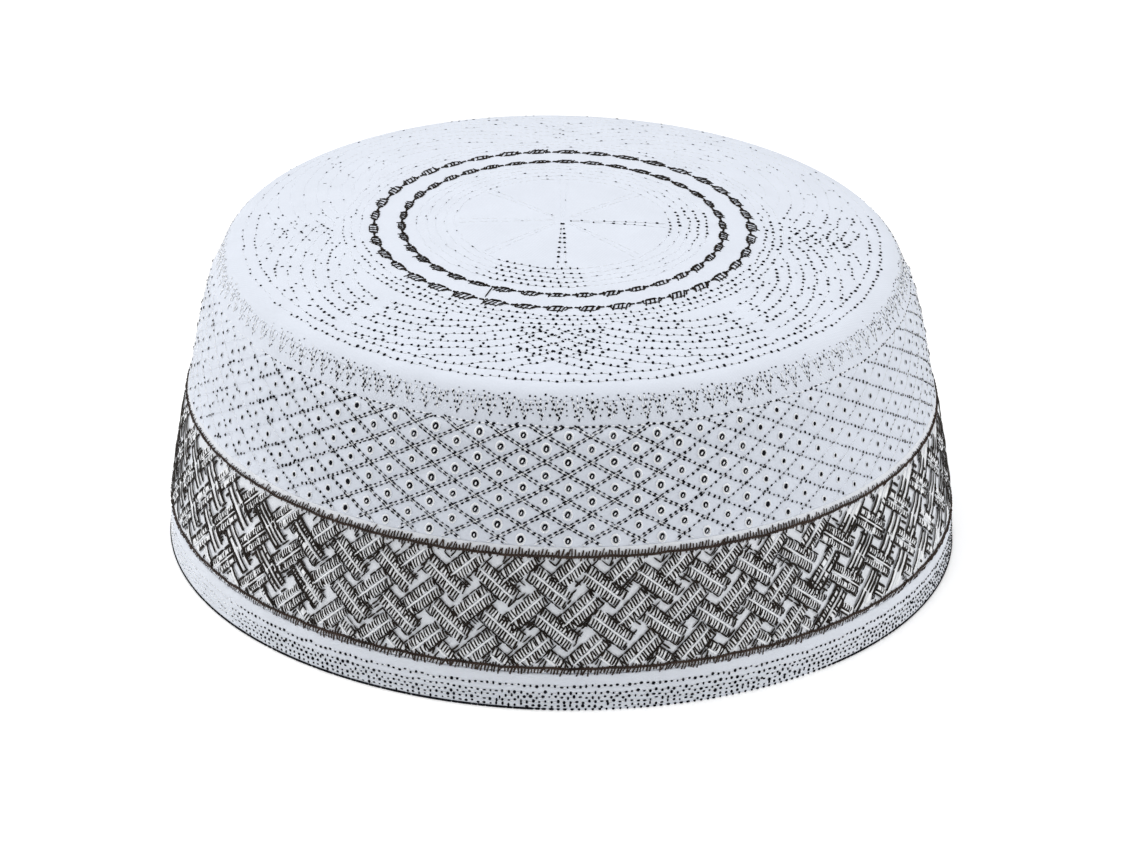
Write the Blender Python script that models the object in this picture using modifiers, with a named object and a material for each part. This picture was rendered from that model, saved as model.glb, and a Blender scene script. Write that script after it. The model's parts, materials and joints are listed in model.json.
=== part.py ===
"""A white prayer cap with an embroidered band, standing on its rim.

The cap is sewn from a quilted side strip, a quilted crown disc whose edge rolls
over the shoulder, a folded hem round the rim and a band of dark embroidery between
two satin-stitched borders. Two narrow embroidered rings lie on the crown. The cap is
hollow and open below. The middle of the rim is the origin, +Z is up and the front
faces -Y. All lengths are in metres.
"""

import math

import bpy

MM = 0.001

# Overall size
RIM_RADIUS = 95.0 * MM
CAP_HEIGHT = 81.0 * MM

# Cloth
WALL = 2.2 * MM
HEM_CLOTH = 1.0 * MM
BAND_CLOTH = 1.0 * MM
FIT_GAP = 0.3 * MM

# Heights on the side, from the rim up
HEM_TOP = 9.3 * MM
BORDER_LOW_BOTTOM = 9.6 * MM
BORDER_LOW_TOP = 13.0 * MM
BORDER_HIGH_BOTTOM = 35.9 * MM
BAND_TOP = 39.1 * MM
SEAM_HEIGHT = 72.2 * MM

# The side strip ends inside the fold of the hem
SIDE_FOOT = HEM_CLOTH + FIT_GAP
HEM_INSIDE_TOP = 8.2 * MM
HEM_EDGE_CUT = 0.35 * MM

# A border stands this far out of the band at its middle
BORDER_SWELL = 0.45 * MM
BORDER_SECTION_POINTS = 4

# Outer face of the finished wall, a row for each height
WALL_COLUMNS = ("height", "radius")
WALL_ROWS = (
    (0.0 * MM, 95.0 * MM),
    (9.6 * MM, 94.6 * MM),
    (24.0 * MM, 92.5 * MM),
    (39.1 * MM, 89.9 * MM),
    (55.0 * MM, 87.1 * MM),
    (65.0 * MM, 84.6 * MM),
    (72.2 * MM, 80.9 * MM),
)

# The quilted cloth above the band lies this far inside the band's face
SIDE_INSET = 0.6 * MM

# Outer face of the crown, from the seam over the shoulder to the middle
CROWN_COLUMNS = ("radius", "height")
CROWN_ROWS = (
    (80.6 * MM, 72.4 * MM),
    (79.9 * MM, 73.6 * MM),
    (78.3 * MM, 74.7 * MM),
    (75.6 * MM, 75.5 * MM),
    (68.0 * MM, 76.7 * MM),
    (58.0 * MM, 77.9 * MM),
    (46.0 * MM, 79.0 * MM),
    (34.0 * MM, 79.8 * MM),
    (18.0 * MM, 80.6 * MM),
    (0.0 * MM, CAP_HEIGHT),
)

# Embroidered rings on the crown
RING_OUTER_RADIUS = 44.9 * MM
RING_INNER_RADIUS = 38.3 * MM
RING_THICKNESS = 0.5 * MM
RING_LEAVES = 42
RING_LEAF_HALF_WIDTH = 1.25 * MM
RING_NECK_HALF_WIDTH = 0.55 * MM
RING_POINTS_PER_LEAF = 4

# The soft crown has settled a little to one side
CROWN_LEAN = -0.9 * MM
CROWN_DROP = 0.5 * MM

# Facets round the cap
SEGMENTS = 60

WHITE_COTTON = (0.80, 0.81, 0.86)
WHITE_HEM = (0.78, 0.79, 0.84)
BROWN_THREAD = (0.085, 0.070, 0.055)
BROWN_BAND = (0.30, 0.285, 0.27)


def clear_scene():
    for scene_object in list(bpy.data.objects):
        bpy.data.objects.remove(scene_object, do_unlink=True)


def make_collection(name):
    collection = bpy.data.collections.new(name)
    bpy.context.scene.collection.children.link(collection)
    return collection


def make_cloth_material(name, colour, roughness):
    """A matt thread or cloth finish; nothing on the cap is metal."""
    material = bpy.data.materials.new(name)
    material.use_nodes = True
    shader = material.node_tree.nodes["Principled BSDF"]
    shader.inputs["Base Color"].default_value = (*colour, 1.0)
    shader.inputs["Roughness"].default_value = roughness
    shader.inputs["Metallic"].default_value = 0.0
    material.diffuse_color = (*colour, 1.0)
    return material


def between_rows(rows, key):
    """The second column at a value of the first, straight between two rows."""
    for (low_key, low_value), (high_key, high_value) in zip(rows, rows[1:]):
        if key <= high_key:
            share = (key - low_key) / (high_key - low_key)
            return low_value + share * (high_value - low_value)
    return rows[-1][1]


def wall_radius(height):
    """Radius of the finished wall's outer face."""
    return between_rows(WALL_ROWS, height)


def crown_height(radius):
    """Height of the crown's outer face."""
    return between_rows(CROWN_ROWS[::-1], radius)


def wall_line(low, high, inset):
    """Points down the wall from high to low, at every row between and at both ends."""
    heights = [height for height, _ in WALL_ROWS if low < height < high]
    heights = [low] + heights + [high]
    return [(wall_radius(height) - inset, height) for height in reversed(heights)]


def side_section():
    """The side strip: full cloth above the band, thinned behind the band and the hem."""
    behind = BAND_CLOTH + FIT_GAP
    step = BAND_TOP + FIT_GAP
    top = SEAM_HEIGHT - FIT_GAP / 2
    outside = wall_line(step, top, SIDE_INSET) + wall_line(SIDE_FOOT, step, behind)
    inside = wall_line(SIDE_FOOT, top, SIDE_INSET + WALL)
    return outside + inside[::-1]


def hem_section():
    """Cloth folded under the rim: an outer leg, the flat foot and a leg up the inside."""
    fold_outer = HEM_CLOTH
    side_outer = BAND_CLOTH + FIT_GAP
    side_inner = SIDE_INSET + WALL
    lining = side_inner + FIT_GAP + HEM_CLOTH
    outer_foot = wall_radius(0.0)
    return [
        (wall_radius(HEM_TOP) - fold_outer, HEM_TOP),
        (wall_radius(HEM_TOP) - HEM_EDGE_CUT, HEM_TOP),
        (wall_radius(HEM_TOP), HEM_TOP - HEM_EDGE_CUT),
        (outer_foot, HEM_EDGE_CUT),
        (outer_foot - HEM_EDGE_CUT, 0.0),
        (outer_foot - lining + HEM_EDGE_CUT, 0.0),
        (outer_foot - lining, HEM_EDGE_CUT),
        (wall_radius(HEM_INSIDE_TOP) - lining, HEM_INSIDE_TOP),
        (wall_radius(HEM_INSIDE_TOP) - side_inner - FIT_GAP, HEM_INSIDE_TOP),
        (wall_radius(HEM_CLOTH) - side_inner - FIT_GAP, HEM_CLOTH),
        (wall_radius(HEM_CLOTH) - side_outer + FIT_GAP, HEM_CLOTH),
    ]


def band_section():
    """The flat embroidered band between its two borders."""
    low = BORDER_LOW_TOP + FIT_GAP
    high = BORDER_HIGH_BOTTOM - FIT_GAP
    return wall_line(low, high, 0.0) + wall_line(low, high, BAND_CLOTH)[::-1]


def border_section(low, high):
    """A satin-stitched border: flat behind, swelling outward between its edges."""
    swell = []
    for index in range(BORDER_SECTION_POINTS):
        share = index / (BORDER_SECTION_POINTS - 1)
        height = high + share * (low - high)
        swell.append((wall_radius(height) + BORDER_SWELL * math.sin(math.pi * share), height))
    return swell + wall_line(low, high, BAND_CLOTH)[::-1]


def crown_section():
    """The crown disc from its middle out over the shoulder, and back along its inside."""
    outside = [(radius, height) for radius, height in CROWN_ROWS[::-1]]
    seam_radius, seam_height = CROWN_ROWS[0]
    inside = [(seam_radius - WALL, seam_height)]
    for radius, height in CROWN_ROWS[2:]:
        share = radius / seam_radius
        inside.append((radius - WALL * share * share, height - WALL))
    inside[-1] = (0.0, CAP_HEIGHT - WALL)
    return outside + inside


def turn_section(name, section, closed, material, collection):
    """Turns a section in the XZ plane once round the Z axis."""
    mesh = bpy.data.meshes.new(name)
    points = [(radius, 0.0, height) for radius, height in section]
    edges = [(index, index + 1) for index in range(len(points) - 1)]
    if closed:
        edges.append((len(points) - 1, 0))
    mesh.from_pydata(points, edges, [])
    piece = bpy.data.objects.new(name, mesh)
    collection.objects.link(piece)
    turn = piece.modifiers.new("turn", "SCREW")
    turn.axis = "Z"
    turn.angle = 2.0 * math.pi
    turn.steps = SEGMENTS
    turn.render_steps = SEGMENTS
    turn.use_merge_vertices = True
    turn.merge_threshold = 0.00001
    turn.use_smooth_shade = True
    mesh.materials.append(material)
    return piece


def ring_outline(middle_radius, side):
    """One edge of a ring of leaves: wide at each leaf's middle, narrow at the necks."""
    points = []
    count = RING_LEAVES * RING_POINTS_PER_LEAF
    for index in range(count):
        angle = 2.0 * math.pi * index / count
        swell = 0.5 - 0.5 * math.cos(RING_LEAVES * angle)
        half_width = RING_NECK_HALF_WIDTH
        half_width += swell * (RING_LEAF_HALF_WIDTH - RING_NECK_HALF_WIDTH)
        radius = middle_radius + side * half_width
        points.append((radius * math.cos(angle), radius * math.sin(angle), radius))
    return points


def crown_ring(name, middle_radius, material, collection):
    """A thin ring of leaves that lies on the crown and follows its dome."""
    corners = []
    for side, lift in ((-1, 0.0), (1, 0.0), (1, RING_THICKNESS), (-1, RING_THICKNESS)):
        outline = ring_outline(middle_radius, side)
        corners.append([(x, y, crown_height(r) + FIT_GAP + lift) for x, y, r in outline])
    count = len(corners[0])
    points = [corner[index] for index in range(count) for corner in corners]
    faces = []
    for index in range(count):
        here = 4 * index
        there = 4 * ((index + 1) % count)
        for corner in range(4):
            after = (corner + 1) % 4
            faces.append((here + corner, there + corner, there + after, here + after))
    mesh = bpy.data.meshes.new(name)
    mesh.from_pydata(points, [], faces)
    mesh.materials.append(material)
    mesh.shade_smooth()
    ring = bpy.data.objects.new(name, mesh)
    collection.objects.link(ring)
    return ring


def settle_lattice(collection):
    """A lattice round the cap whose upper corners carry the crown's slight lean."""
    lattice = bpy.data.lattices.new("settle")
    lattice.points_u = 2
    lattice.points_v = 2
    lattice.points_w = 2
    for axis in ("u", "v", "w"):
        setattr(lattice, "interpolation_type_" + axis, "KEY_LINEAR")
    width = 2.2 * RIM_RADIUS
    guide = bpy.data.objects.new("settle", lattice)
    guide.location = (0.0, 0.0, CAP_HEIGHT / 2)
    guide.scale = (width, width, CAP_HEIGHT)
    guide.hide_render = True
    guide.display_type = "WIRE"
    for point in lattice.points:
        if point.co.z > 0:
            x, y, z = point.co
            drop = CROWN_DROP * (x * width) / CROWN_ROWS[0][0]
            point.co_deform = (x + CROWN_LEAN / width, y, z - drop / CAP_HEIGHT)
    collection.objects.link(guide)
    return guide


def settle(pieces, guide):
    for piece in pieces:
        bend = piece.modifiers.new("settle", "LATTICE")
        bend.object = guide


def build_cap():
    clear_scene()
    cap = make_collection("prayer_cap")
    guides = make_collection("guides")
    cotton = make_cloth_material("white_quilted_cotton", WHITE_COTTON, 0.85)
    hem_cloth = make_cloth_material("white_hem_cotton", WHITE_HEM, 0.85)
    thread = make_cloth_material("brown_satin_thread", BROWN_THREAD, 0.5)
    band_cloth = make_cloth_material("brown_and_white_embroidery", BROWN_BAND, 0.65)

    low_border = border_section(BORDER_LOW_BOTTOM, BORDER_LOW_TOP)
    high_border = border_section(BORDER_HIGH_BOTTOM, BAND_TOP)
    pieces = [
        turn_section("crown_panel", crown_section(), False, cotton, cap),
        turn_section("side_panel", side_section(), True, cotton, cap),
        turn_section("hem", hem_section(), True, hem_cloth, cap),
        turn_section("embroidered_band", band_section(), True, band_cloth, cap),
        turn_section("band_border_top", high_border, True, thread, cap),
        turn_section("band_border_bottom", low_border, True, thread, cap),
        crown_ring("crown_ring_outer", RING_OUTER_RADIUS, thread, cap),
        crown_ring("crown_ring_inner", RING_INNER_RADIUS, thread, cap),
    ]
    settle(pieces, settle_lattice(guides))


build_cap()
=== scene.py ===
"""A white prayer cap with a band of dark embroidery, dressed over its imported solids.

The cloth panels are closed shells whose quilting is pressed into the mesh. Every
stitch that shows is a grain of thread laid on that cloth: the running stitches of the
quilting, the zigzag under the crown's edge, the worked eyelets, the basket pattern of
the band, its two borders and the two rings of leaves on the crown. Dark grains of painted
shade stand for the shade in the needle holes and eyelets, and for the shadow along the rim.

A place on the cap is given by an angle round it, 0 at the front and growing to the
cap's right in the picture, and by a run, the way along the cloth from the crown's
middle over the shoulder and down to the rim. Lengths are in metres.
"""

import json
import math

import bpy
import numpy as np
from bpy.props import FloatProperty, FloatVectorProperty, IntProperty, PointerProperty
from mathutils import Matrix
from mathutils.kdtree import KDTree

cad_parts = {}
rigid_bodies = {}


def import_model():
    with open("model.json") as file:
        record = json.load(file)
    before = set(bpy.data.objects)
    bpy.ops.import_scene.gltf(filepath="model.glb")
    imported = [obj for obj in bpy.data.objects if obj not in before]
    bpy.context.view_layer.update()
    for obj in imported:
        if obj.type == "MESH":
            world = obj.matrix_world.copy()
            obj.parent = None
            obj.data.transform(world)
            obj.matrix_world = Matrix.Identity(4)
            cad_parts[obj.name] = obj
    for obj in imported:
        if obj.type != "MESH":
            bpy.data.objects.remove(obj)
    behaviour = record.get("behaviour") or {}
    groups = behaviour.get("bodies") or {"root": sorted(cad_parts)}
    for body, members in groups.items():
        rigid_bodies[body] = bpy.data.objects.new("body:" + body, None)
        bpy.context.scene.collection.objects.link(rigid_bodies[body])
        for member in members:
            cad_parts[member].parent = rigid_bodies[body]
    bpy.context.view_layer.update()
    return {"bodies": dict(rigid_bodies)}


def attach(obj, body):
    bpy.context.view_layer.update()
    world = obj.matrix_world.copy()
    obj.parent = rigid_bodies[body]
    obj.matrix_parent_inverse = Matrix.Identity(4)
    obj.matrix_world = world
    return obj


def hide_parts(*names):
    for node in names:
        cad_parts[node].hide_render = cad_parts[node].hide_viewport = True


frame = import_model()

bl_info = {
    "name": "Embroidered prayer cap",
    "version": (1, 0, 0),
    "blender": (4, 5, 0),
    "location": "3D View > Sidebar > Cap",
    "description": "Dresses the packed cap in quilted cotton and embroidery",
    "category": "Add Mesh",
}

BODY = next(iter(frame["bodies"]))
MM = 0.001
FULL_TURN = 2.0 * math.pi

# Outer face of the cap from the crown's middle to the rim: radius and height in millimetres
FACE_ROWS = (
    (0.0, 81.0),
    (18.0, 80.6),
    (34.0, 79.8),
    (46.0, 79.0),
    (58.0, 77.9),
    (68.0, 76.7),
    (75.6, 75.5),
    (78.3, 74.7),
    (79.9, 73.6),
    (80.6, 72.4),
    (80.9, 72.2),
    (84.6, 65.0),
    (87.1, 55.0),
    (89.9, 39.1),
    (92.5, 24.0),
    (94.6, 9.6),
    (95.0, 0.0),
)

# Steps of the face in millimetres, and how many of them each mean takes in
FACE_STEP = 0.1
FACE_SMOOTHING = 13

# The soft crown has settled a little to one side and to the front
CAP_HEIGHT = 81.0 * MM
CROWN_LEAN = -0.9 * MM
CROWN_DROP = 0.5 * MM
CROWN_TILT = 1.1 * MM
SEAM_RADIUS = 80.6 * MM

# Cloth
WALL = 2.2 * MM
HEM_CLOTH = 1.0 * MM
BAND_CLOTH = 1.0 * MM
FIT_GAP = 0.3 * MM
SIDE_INSET = 0.3 * MM
INSET_REACH = 5.0 * MM
INSET_END = 2.0 * MM
SEAM_FOLD = 0.05 * MM
SEAM_FOLD_REACH = 0.5 * MM
SIDE_TUCK = 0.05 * MM
BAND_SINK = 0.05 * MM
EDGE_RING = 0.04 * MM
DENT_SPACING = 0.5 * MM

# Heights on the side, from the rim up
HEM_TOP = 9.3 * MM
BORDER_LOW_BOTTOM = 8.8 * MM
BORDER_LOW_TOP = 11.5 * MM
BORDER_HIGH_BOTTOM = 36.1 * MM
BORDER_HIGH_TOP = 38.9 * MM
SIDE_STEP = 39.4 * MM
CROWN_EDGE = 72.4 * MM
SIDE_TOP = 72.37 * MM
BAND_CLOTH_TOP = 39.32 * MM
BAND_CLOTH_BOTTOM = 9.5 * MM
HEM_INSIDE_TOP = 8.2 * MM

# Rings of the crown's mesh in millimetres: from one radius to another, and the step
CROWN_ZONES = ((1.0, 24.0, 1.3), (24.0, 36.5, 0.6), (36.5, 53.0, 0.95), (53.0, 77.0, 0.56))
CROWN_INSIDE_START = 4.0 * MM
CROWN_SHOULDER_RINGS = 12
CROWN_INSIDE_RINGS = 16
SIDE_RINGS = 58
BAND_OUTSIDE_RINGS = 30
BAND_INSIDE_RINGS = 5

# Heights of the side's rings in millimetres: behind the band, then up the inside
BEHIND_BAND_HEIGHTS = (39.3, 30.0, 20.0, 10.0, 1.3)
LINING_HEIGHTS = (1.3, 10.0, 20.0, 30.0, 40.0, 50.0, 60.0, 68.0, 72.05)

# The hem's rounded foot and the dents of its rows
HEM_FOOT_ROUND = 0.75 * MM
HEM_INSIDE_ROUND = 0.5 * MM
HEM_LEG_MIDDLE = 5.0 * MM
HEM_OUTSIDE_RINGS = 22
HEM_DENT = 0.14 * MM
HEM_DENT_REACH = 0.4 * MM

# Radii that turn an angle into a length of cloth for the weave
SIDE_WEAVE_RADIUS = 88.0 * MM
HEM_WEAVE_RADIUS = 94.0 * MM
BAND_WEAVE_RADIUS = 92.0 * MM
BAND_COLUMNS = 360

# Quilting of the side: an eyelet in each diamond
LATTICE_TOP = 67.0 * MM
LATTICE_BOTTOM = 39.5 * MM
LATTICE_FIRST_ROW = 65.1 * MM
LATTICE_LAST_ROW = 40.9 * MM
LATTICE_ROWS = 9
LATTICE_ABOVE = 0.5 * MM
LATTICE_BELOW = 0.6 * MM
LATTICE_PHASE = math.radians(1.4)
DOUBLE_ROW_GAP = 0.64 * MM

# Zigzag under the crown's edge and the dotted rows below it
ZIGZAG_TOP = 73.4 * MM
ZIGZAG_BOTTOM = 68.6 * MM
DOTTED_ROWS = (67.0 * MM,)
ZIGZAG_PITCH_SHARE = 0.55
DOTTED_PITCH_SHARE = 0.92

# Loose holes along the zigzag: the row's height and its share of the usual pitch
EDGE_LOOSE_ROWS = ((73.0 * MM, 0.62), (71.9 * MM, 0.8), (70.6 * MM, 0.85), (69.4 * MM, 1.0))

# Rows of dots on the crown, given by radius, in millimetres where they are rings
SPOKES = 8
SPOKE_START = 2.0 * MM
SPOKE_END = 25.0 * MM
SPOKE_NARROW = 0.5 * MM
SPOKE_WIDE = 2.0 * MM
INNER_DOT_RINGS = (25.7, 28.0, 30.2, 32.4, 34.6)
MIDDLE_DOT_RINGS = (48.3, 50.2, 52.2)
OUTER_DOT_RINGS = (73.2, 76.0)
RING_PHASE_STEP = 0.013
SPOKE_PITCH_SHARE = 1.3
FAN_PITCH_SHARE = 0.92

# Fans of dotted arcs on the crown: two to a quarter, mirrored about its middle
QUARTERS = 4
FAN_MIDDLE_ACROSS = 22.0 * MM
FAN_MIDDLE_OUT = 21.0 * MM
FAN_STARTS = (47.5 * MM, 49.0 * MM)
FAN_ROW_GAP = 3.05 * MM
FAN_ROWS = 9
FAN_OVERLAP = 9.0 * MM
FAN_SIDE_OVERLAP = 0.3 * FAN_OVERLAP
FAN_EDGE_ANGLE = math.radians(45.0)
FAN_INNER_RADIUS = 53.8 * MM
FAN_OUTER_RADIUS = 72.2 * MM
FAN_EYELETS = (4.5 * MM, 15.0 * MM, 27.0 * MM, 38.0 * MM)
FAN_EYELET_STAGGER = 2.6 * MM
FAN_RADIUS = 62.0 * MM

# How the crown's outer rows fade to each side: by how much, and over which degrees. At the left
# the fade is painted light: the painted hole shade thins out where the left light falls
CROWN_RIGHT = ((0.28, (35.0, 60.0)), (0.50, (88.0, 120.0)))
CROWN_LEFT = ((0.50, (38.0, 64.0)), (0.30, (78.0, 112.0)))

# Degrees over which the crown's inner rows show strongly, at the front and at the right, and the
# runs over which the spokes and the inner rows end
INNER_FRONT = ((-36.0, -28.0), (4.0, 14.0))
INNER_FLANK = ((72.0, 84.0), (106.0, 118.0))
SPOKES_END = (23.0 * MM, 25.5 * MM)
INNER_ENDS = (36.0 * MM, 40.0 * MM)

# How shallow the crown's rows are beside the side's
CROWN_SHALLOW = 0.6

# How far threads and needle holes stand above the cloth in their row
THREAD_LIFT = 0.05 * MM
HOLE_LIFT = 0.12 * MM
FAN_EYELET_LIFT = 0.04 * MM
LATTICE_THREAD_LIFT = 0.14 * MM
DOTTED_THREAD_LIFT = 0.08 * MM
EDGE_LIFT = 0.06 * MM
HEM_THREAD_LIFT = -0.08 * MM

# How thick the white threads are
CROWN_THREAD_THICKNESS = 0.12 * MM
LATTICE_THREAD_THICKNESS = 0.26 * MM
EDGE_THREAD_THICKNESS = 0.22 * MM

# Length of a needle hole, and how far it may stray from its row
CROWN_HOLES = (0.66 * MM, 0.20 * MM)
LATTICE_THREAD_ENDS = (0.30 * MM, 0.03 * MM)
ZIGZAG_HOLES = (0.62 * MM, 0.16 * MM)
EDGE_LOOSE_HOLES = (0.5 * MM, 0.42 * MM)
DOTTED_HOLES = (0.8 * MM, 0.12 * MM)
HEM_HOLES = (0.72 * MM, 0.16 * MM)

# Degrees at the left over which the diamonds' dashes become few, and how far they then stray.
# The thinning is painted light: the painted hole shade thins out where the left light falls
LATTICE_SPARSE = (-30.0, -52.0)
LATTICE_JITTER = 0.16 * MM

# Worked eyelets of the side
EYELET_RADIUS = 0.98 * MM
EYELET_LENGTH = 1.22
EYELET_GIRTH = 0.24 * MM
EYELET_LIFT = 0.10 * MM
EYELET_STEPS = 10
EYELET_SIDES = 4
EYELET_ANGLE_STRAY = 0.0010
EYELET_RUN_STRAY = 0.09 * MM
EYELET_HOLE_REACH = 0.92 * MM
EYELET_HOLE_WIDTH = 1.30 * MM
EYELET_HOLE_THICKNESS = 0.20 * MM
KNOT_THICKNESS = 0.26 * MM
KNOT_LIFT = 0.24 * MM

# Lift of an eyelet's hole in millimetres, and how much it rises at the cap's sides
EYELET_HOLE_LIFT = 0.16
EYELET_HOLE_RISE = 0.10

# Degrees round the cap, from where to where the rows fade and show fully again. The fade at the
# left is painted light: the painted hole shade thins out where the left light falls
LEFT_FADES = (-38.0, -62.0)
LEFT_FADE_ENDS = (-90.0, -150.0)
LEFT_BACK = (-90.0, -130.0)
RIGHT_FADES = (33.0, 52.0)
RIGHT_FADE_ENDS = (90.0, 150.0)
RIGHT_BACK = (90.0, 130.0)

# Satin borders: their short threads and the dark cord that runs along them
BORDER_HALF_SHARES = (0.55, 1.06)
BORDER_LEAN = 0.26 * MM
BORDER_STRAY = 0.20 * MM
BORDER_ANGLE_STRAY = 0.06
BORDER_THICKNESS = 0.30 * MM
BORDER_LIFT = 0.14 * MM
BORDER_NARROWS = (32.0, 60.0)
BORDER_NARROWING = 0.45
BORDER_CORD = (0.62 * MM, 0.34 * MM, 0.06 * MM)
BORDER_CORD_COLUMNS = 720
BORDER_CORD_SIDES = 6
BORDER_CORD_SHIFT = 0.14

# Ripples of that cord: how high, and how many round the cap
BORDER_RIPPLES = ((0.09 * MM, 37.0), (0.08 * MM, 83.0))

# Rings of leaves on the crown
RING_OUTER_RADIUS = 44.8 * MM
RING_INNER_RADIUS = 38.1 * MM
OUTER_SHIFT = 0.3 * MM
INNER_SHIFT = 0.6 * MM
OUTER_LEAF_HEIGHT = 2.0 * MM
INNER_LEAF_HEIGHT = 1.6 * MM
LEAF_SLANT = 0.62
LEAF_FLOOR = -0.34
LEAF_ROOF = 0.62
LEAF_THREADS = 4
LEAF_SHARE = 0.31
LEAF_PHASE = math.radians(-1.0)
JUMP_START = (math.radians(-24.4), 38.4 * MM)
JUMP_END = (math.radians(-23.7), 44.3 * MM)

# Basket pattern of the band
BASKET_RISING_ROWS = 3
BASKET_FALLING_ROWS = 4
BASKET_FIRST_RISING = 34.6 * MM
BASKET_FIRST_FALLING = 39.75 * MM
BASKET_ROW_GAP = 10.05 * MM
BASKET_PHASE = math.radians(2.0)
BASKET_SHEAR = math.radians(0.9)
BASKET_SLOPE = math.radians(41.5)
BASKET_SLOPE_MORE = math.radians(2.0)
BAR_GAP = 0.62 * MM
PAIR_SHIFT = 0.4 * MM
CORD_WIDTH = 0.46 * MM
CORD_LIFT = 0.12 * MM
RUNG_LEAN = math.radians(28.0)
RUNG_LIFT = 0.20 * MM
PAD_THICKNESS = 0.50 * MM
SATIN_THICKNESS = 0.26 * MM

# The pattern runs on under the borders, and its padding ends before them
BORDER_OVERLAP = 0.9 * MM
PAD_MARGIN = 0.6 * MM

# Degrees from the front over which the band's rungs give way to long lines
LINES_BEGIN = (33.0, 50.0)
LINES_WIDEN = (46.0, 72.0)
LINES_NARROW = (95.0, 140.0)

# Lines along a cell away from the front, by their distance from its middle in millimetres
BOLD_LINES = (-2.0, -0.67, 0.67, 2.0)
FINE_LINES = (-2.2, -0.45, 0.45, 2.2)
FEW_LINES = (-2.0, 0.0, 2.0)
LINE_JOG = 0.07 * MM

# Outlines of a cell: how far off they lie, and the share of them that is sewn
OUTLINE_GAP = 0.22 * MM
OUTLINE_SHARE = 0.85
NEXT_LINE = 0.78 * MM
NEXT_LINE_SHARE = 0.16
TIP_GAP = 0.12 * MM
TIP_PARTS = 3

# Share of the rungs that is missing at the cap's sides, where long lines lie instead
BOLD_RUNGS_MISSING = 0.93
FINE_RUNGS_MISSING = 0.15

# Short threads beside a cell's end; how far out they lie is in millimetres
BUNDLE_ROWS = 3
BUNDLE_OUT = 4.05
BUNDLE_STEP = 0.66
BUNDLE_ALONG = 3.1 * MM
BUNDLE_LENGTH = 4.2 * MM

# Rows on the hem, from the rim up
HEM_ROWS = (2.1 * MM, 3.2 * MM, 4.3 * MM, 6.1 * MM)
HEM_EDGE_ROW = 1.1 * MM
# Painted shadow along the rim: the height of its line
RIM_SHADOW_LINE = 0.32 * MM
HEM_ROW_SHIFT = 0.017
# Painted shadow along the rim: its dashes' pitch, width and thickness
RIM_SHADOW_PITCH = 1.6 * MM
RIM_SHADOW_WIDTH = 0.56 * MM
RIM_SHADOW_THICKNESS = 0.46 * MM

# Camera: the photograph's viewing angle
CAMERA_ELEVATION = math.radians(25.66)
CAMERA_ROLL = math.radians(0.954)
CAMERA_DISTANCE = 1.4
CAMERA_AIM_HEIGHT = 0.040
CAMERA_RIGHT = 1.674 * MM
CAMERA_DOWN = 12.31 * MM
CAMERA_LENS = 183.5
CAMERA_SENSOR = 36.0

# Floor and lights, in metres
FLOOR_HALF = 4.0
LIGHT_AIM = (0.0, 0.0, 0.05)
TOP_LIGHT = (-0.15, -0.06, 1.35)
LEFT_LIGHT = (-1.2, 0.25, 0.7)
RIGHT_LIGHT = (1.2, -0.15, 0.7)
TOP_LIGHT_SIZE = 1.1
SIDE_LIGHT_SIZE = 0.8

SEED = 7

# What the sizes and colours that a user can change have in common
LENGTH = {"subtype": "DISTANCE", "unit": "LENGTH", "precision": 5}
COLOUR = {"min": 0.0, "max": 1.0, "size": 3, "subtype": "COLOR"}
POWER = {"min": 0.0, "subtype": "POWER", "unit": "POWER"}


class ClothSettings(bpy.types.PropertyGroup):
    """Sizes and colours of the cotton."""

    crown_columns: IntProperty(
        name="Crown columns", description="Steps round the crown's mesh", default=480, min=120, max=720
    )
    side_columns: IntProperty(
        name="Side columns", description="Steps round the mesh of the side, the band and the hem",
        default=624, min=120, max=900,
    )
    quilt_depth: FloatProperty(
        name="Quilting depth", description="How deep a row of stitches pulls the padded cloth in",
        default=0.26 * MM, min=0.0, max=0.6 * MM, **LENGTH,
    )
    quilt_reach: FloatProperty(
        name="Quilting reach", description="How far beside a row of stitches the cloth is drawn in",
        default=1.0 * MM, min=0.3 * MM, max=3.0 * MM, **LENGTH,
    )
    weave_pitch: FloatProperty(
        name="Weave pitch", description="Distance from one yarn of the cotton to the next",
        default=0.42 * MM, min=0.1 * MM, max=2.0 * MM, **LENGTH,
    )
    cotton_colour: FloatVectorProperty(
        name="Cotton", description="Colour of the quilted crown and side",
        default=(0.735, 0.775, 0.855), **COLOUR,
    )
    hem_colour: FloatVectorProperty(
        name="Hem cotton", description="Colour of the hem", default=(0.760, 0.795, 0.860), **COLOUR
    )
    band_colour: FloatVectorProperty(
        name="Band colour", description="Colour of the cloth under the band's embroidery",
        default=(0.800, 0.825, 0.870), **COLOUR,
    )


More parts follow.
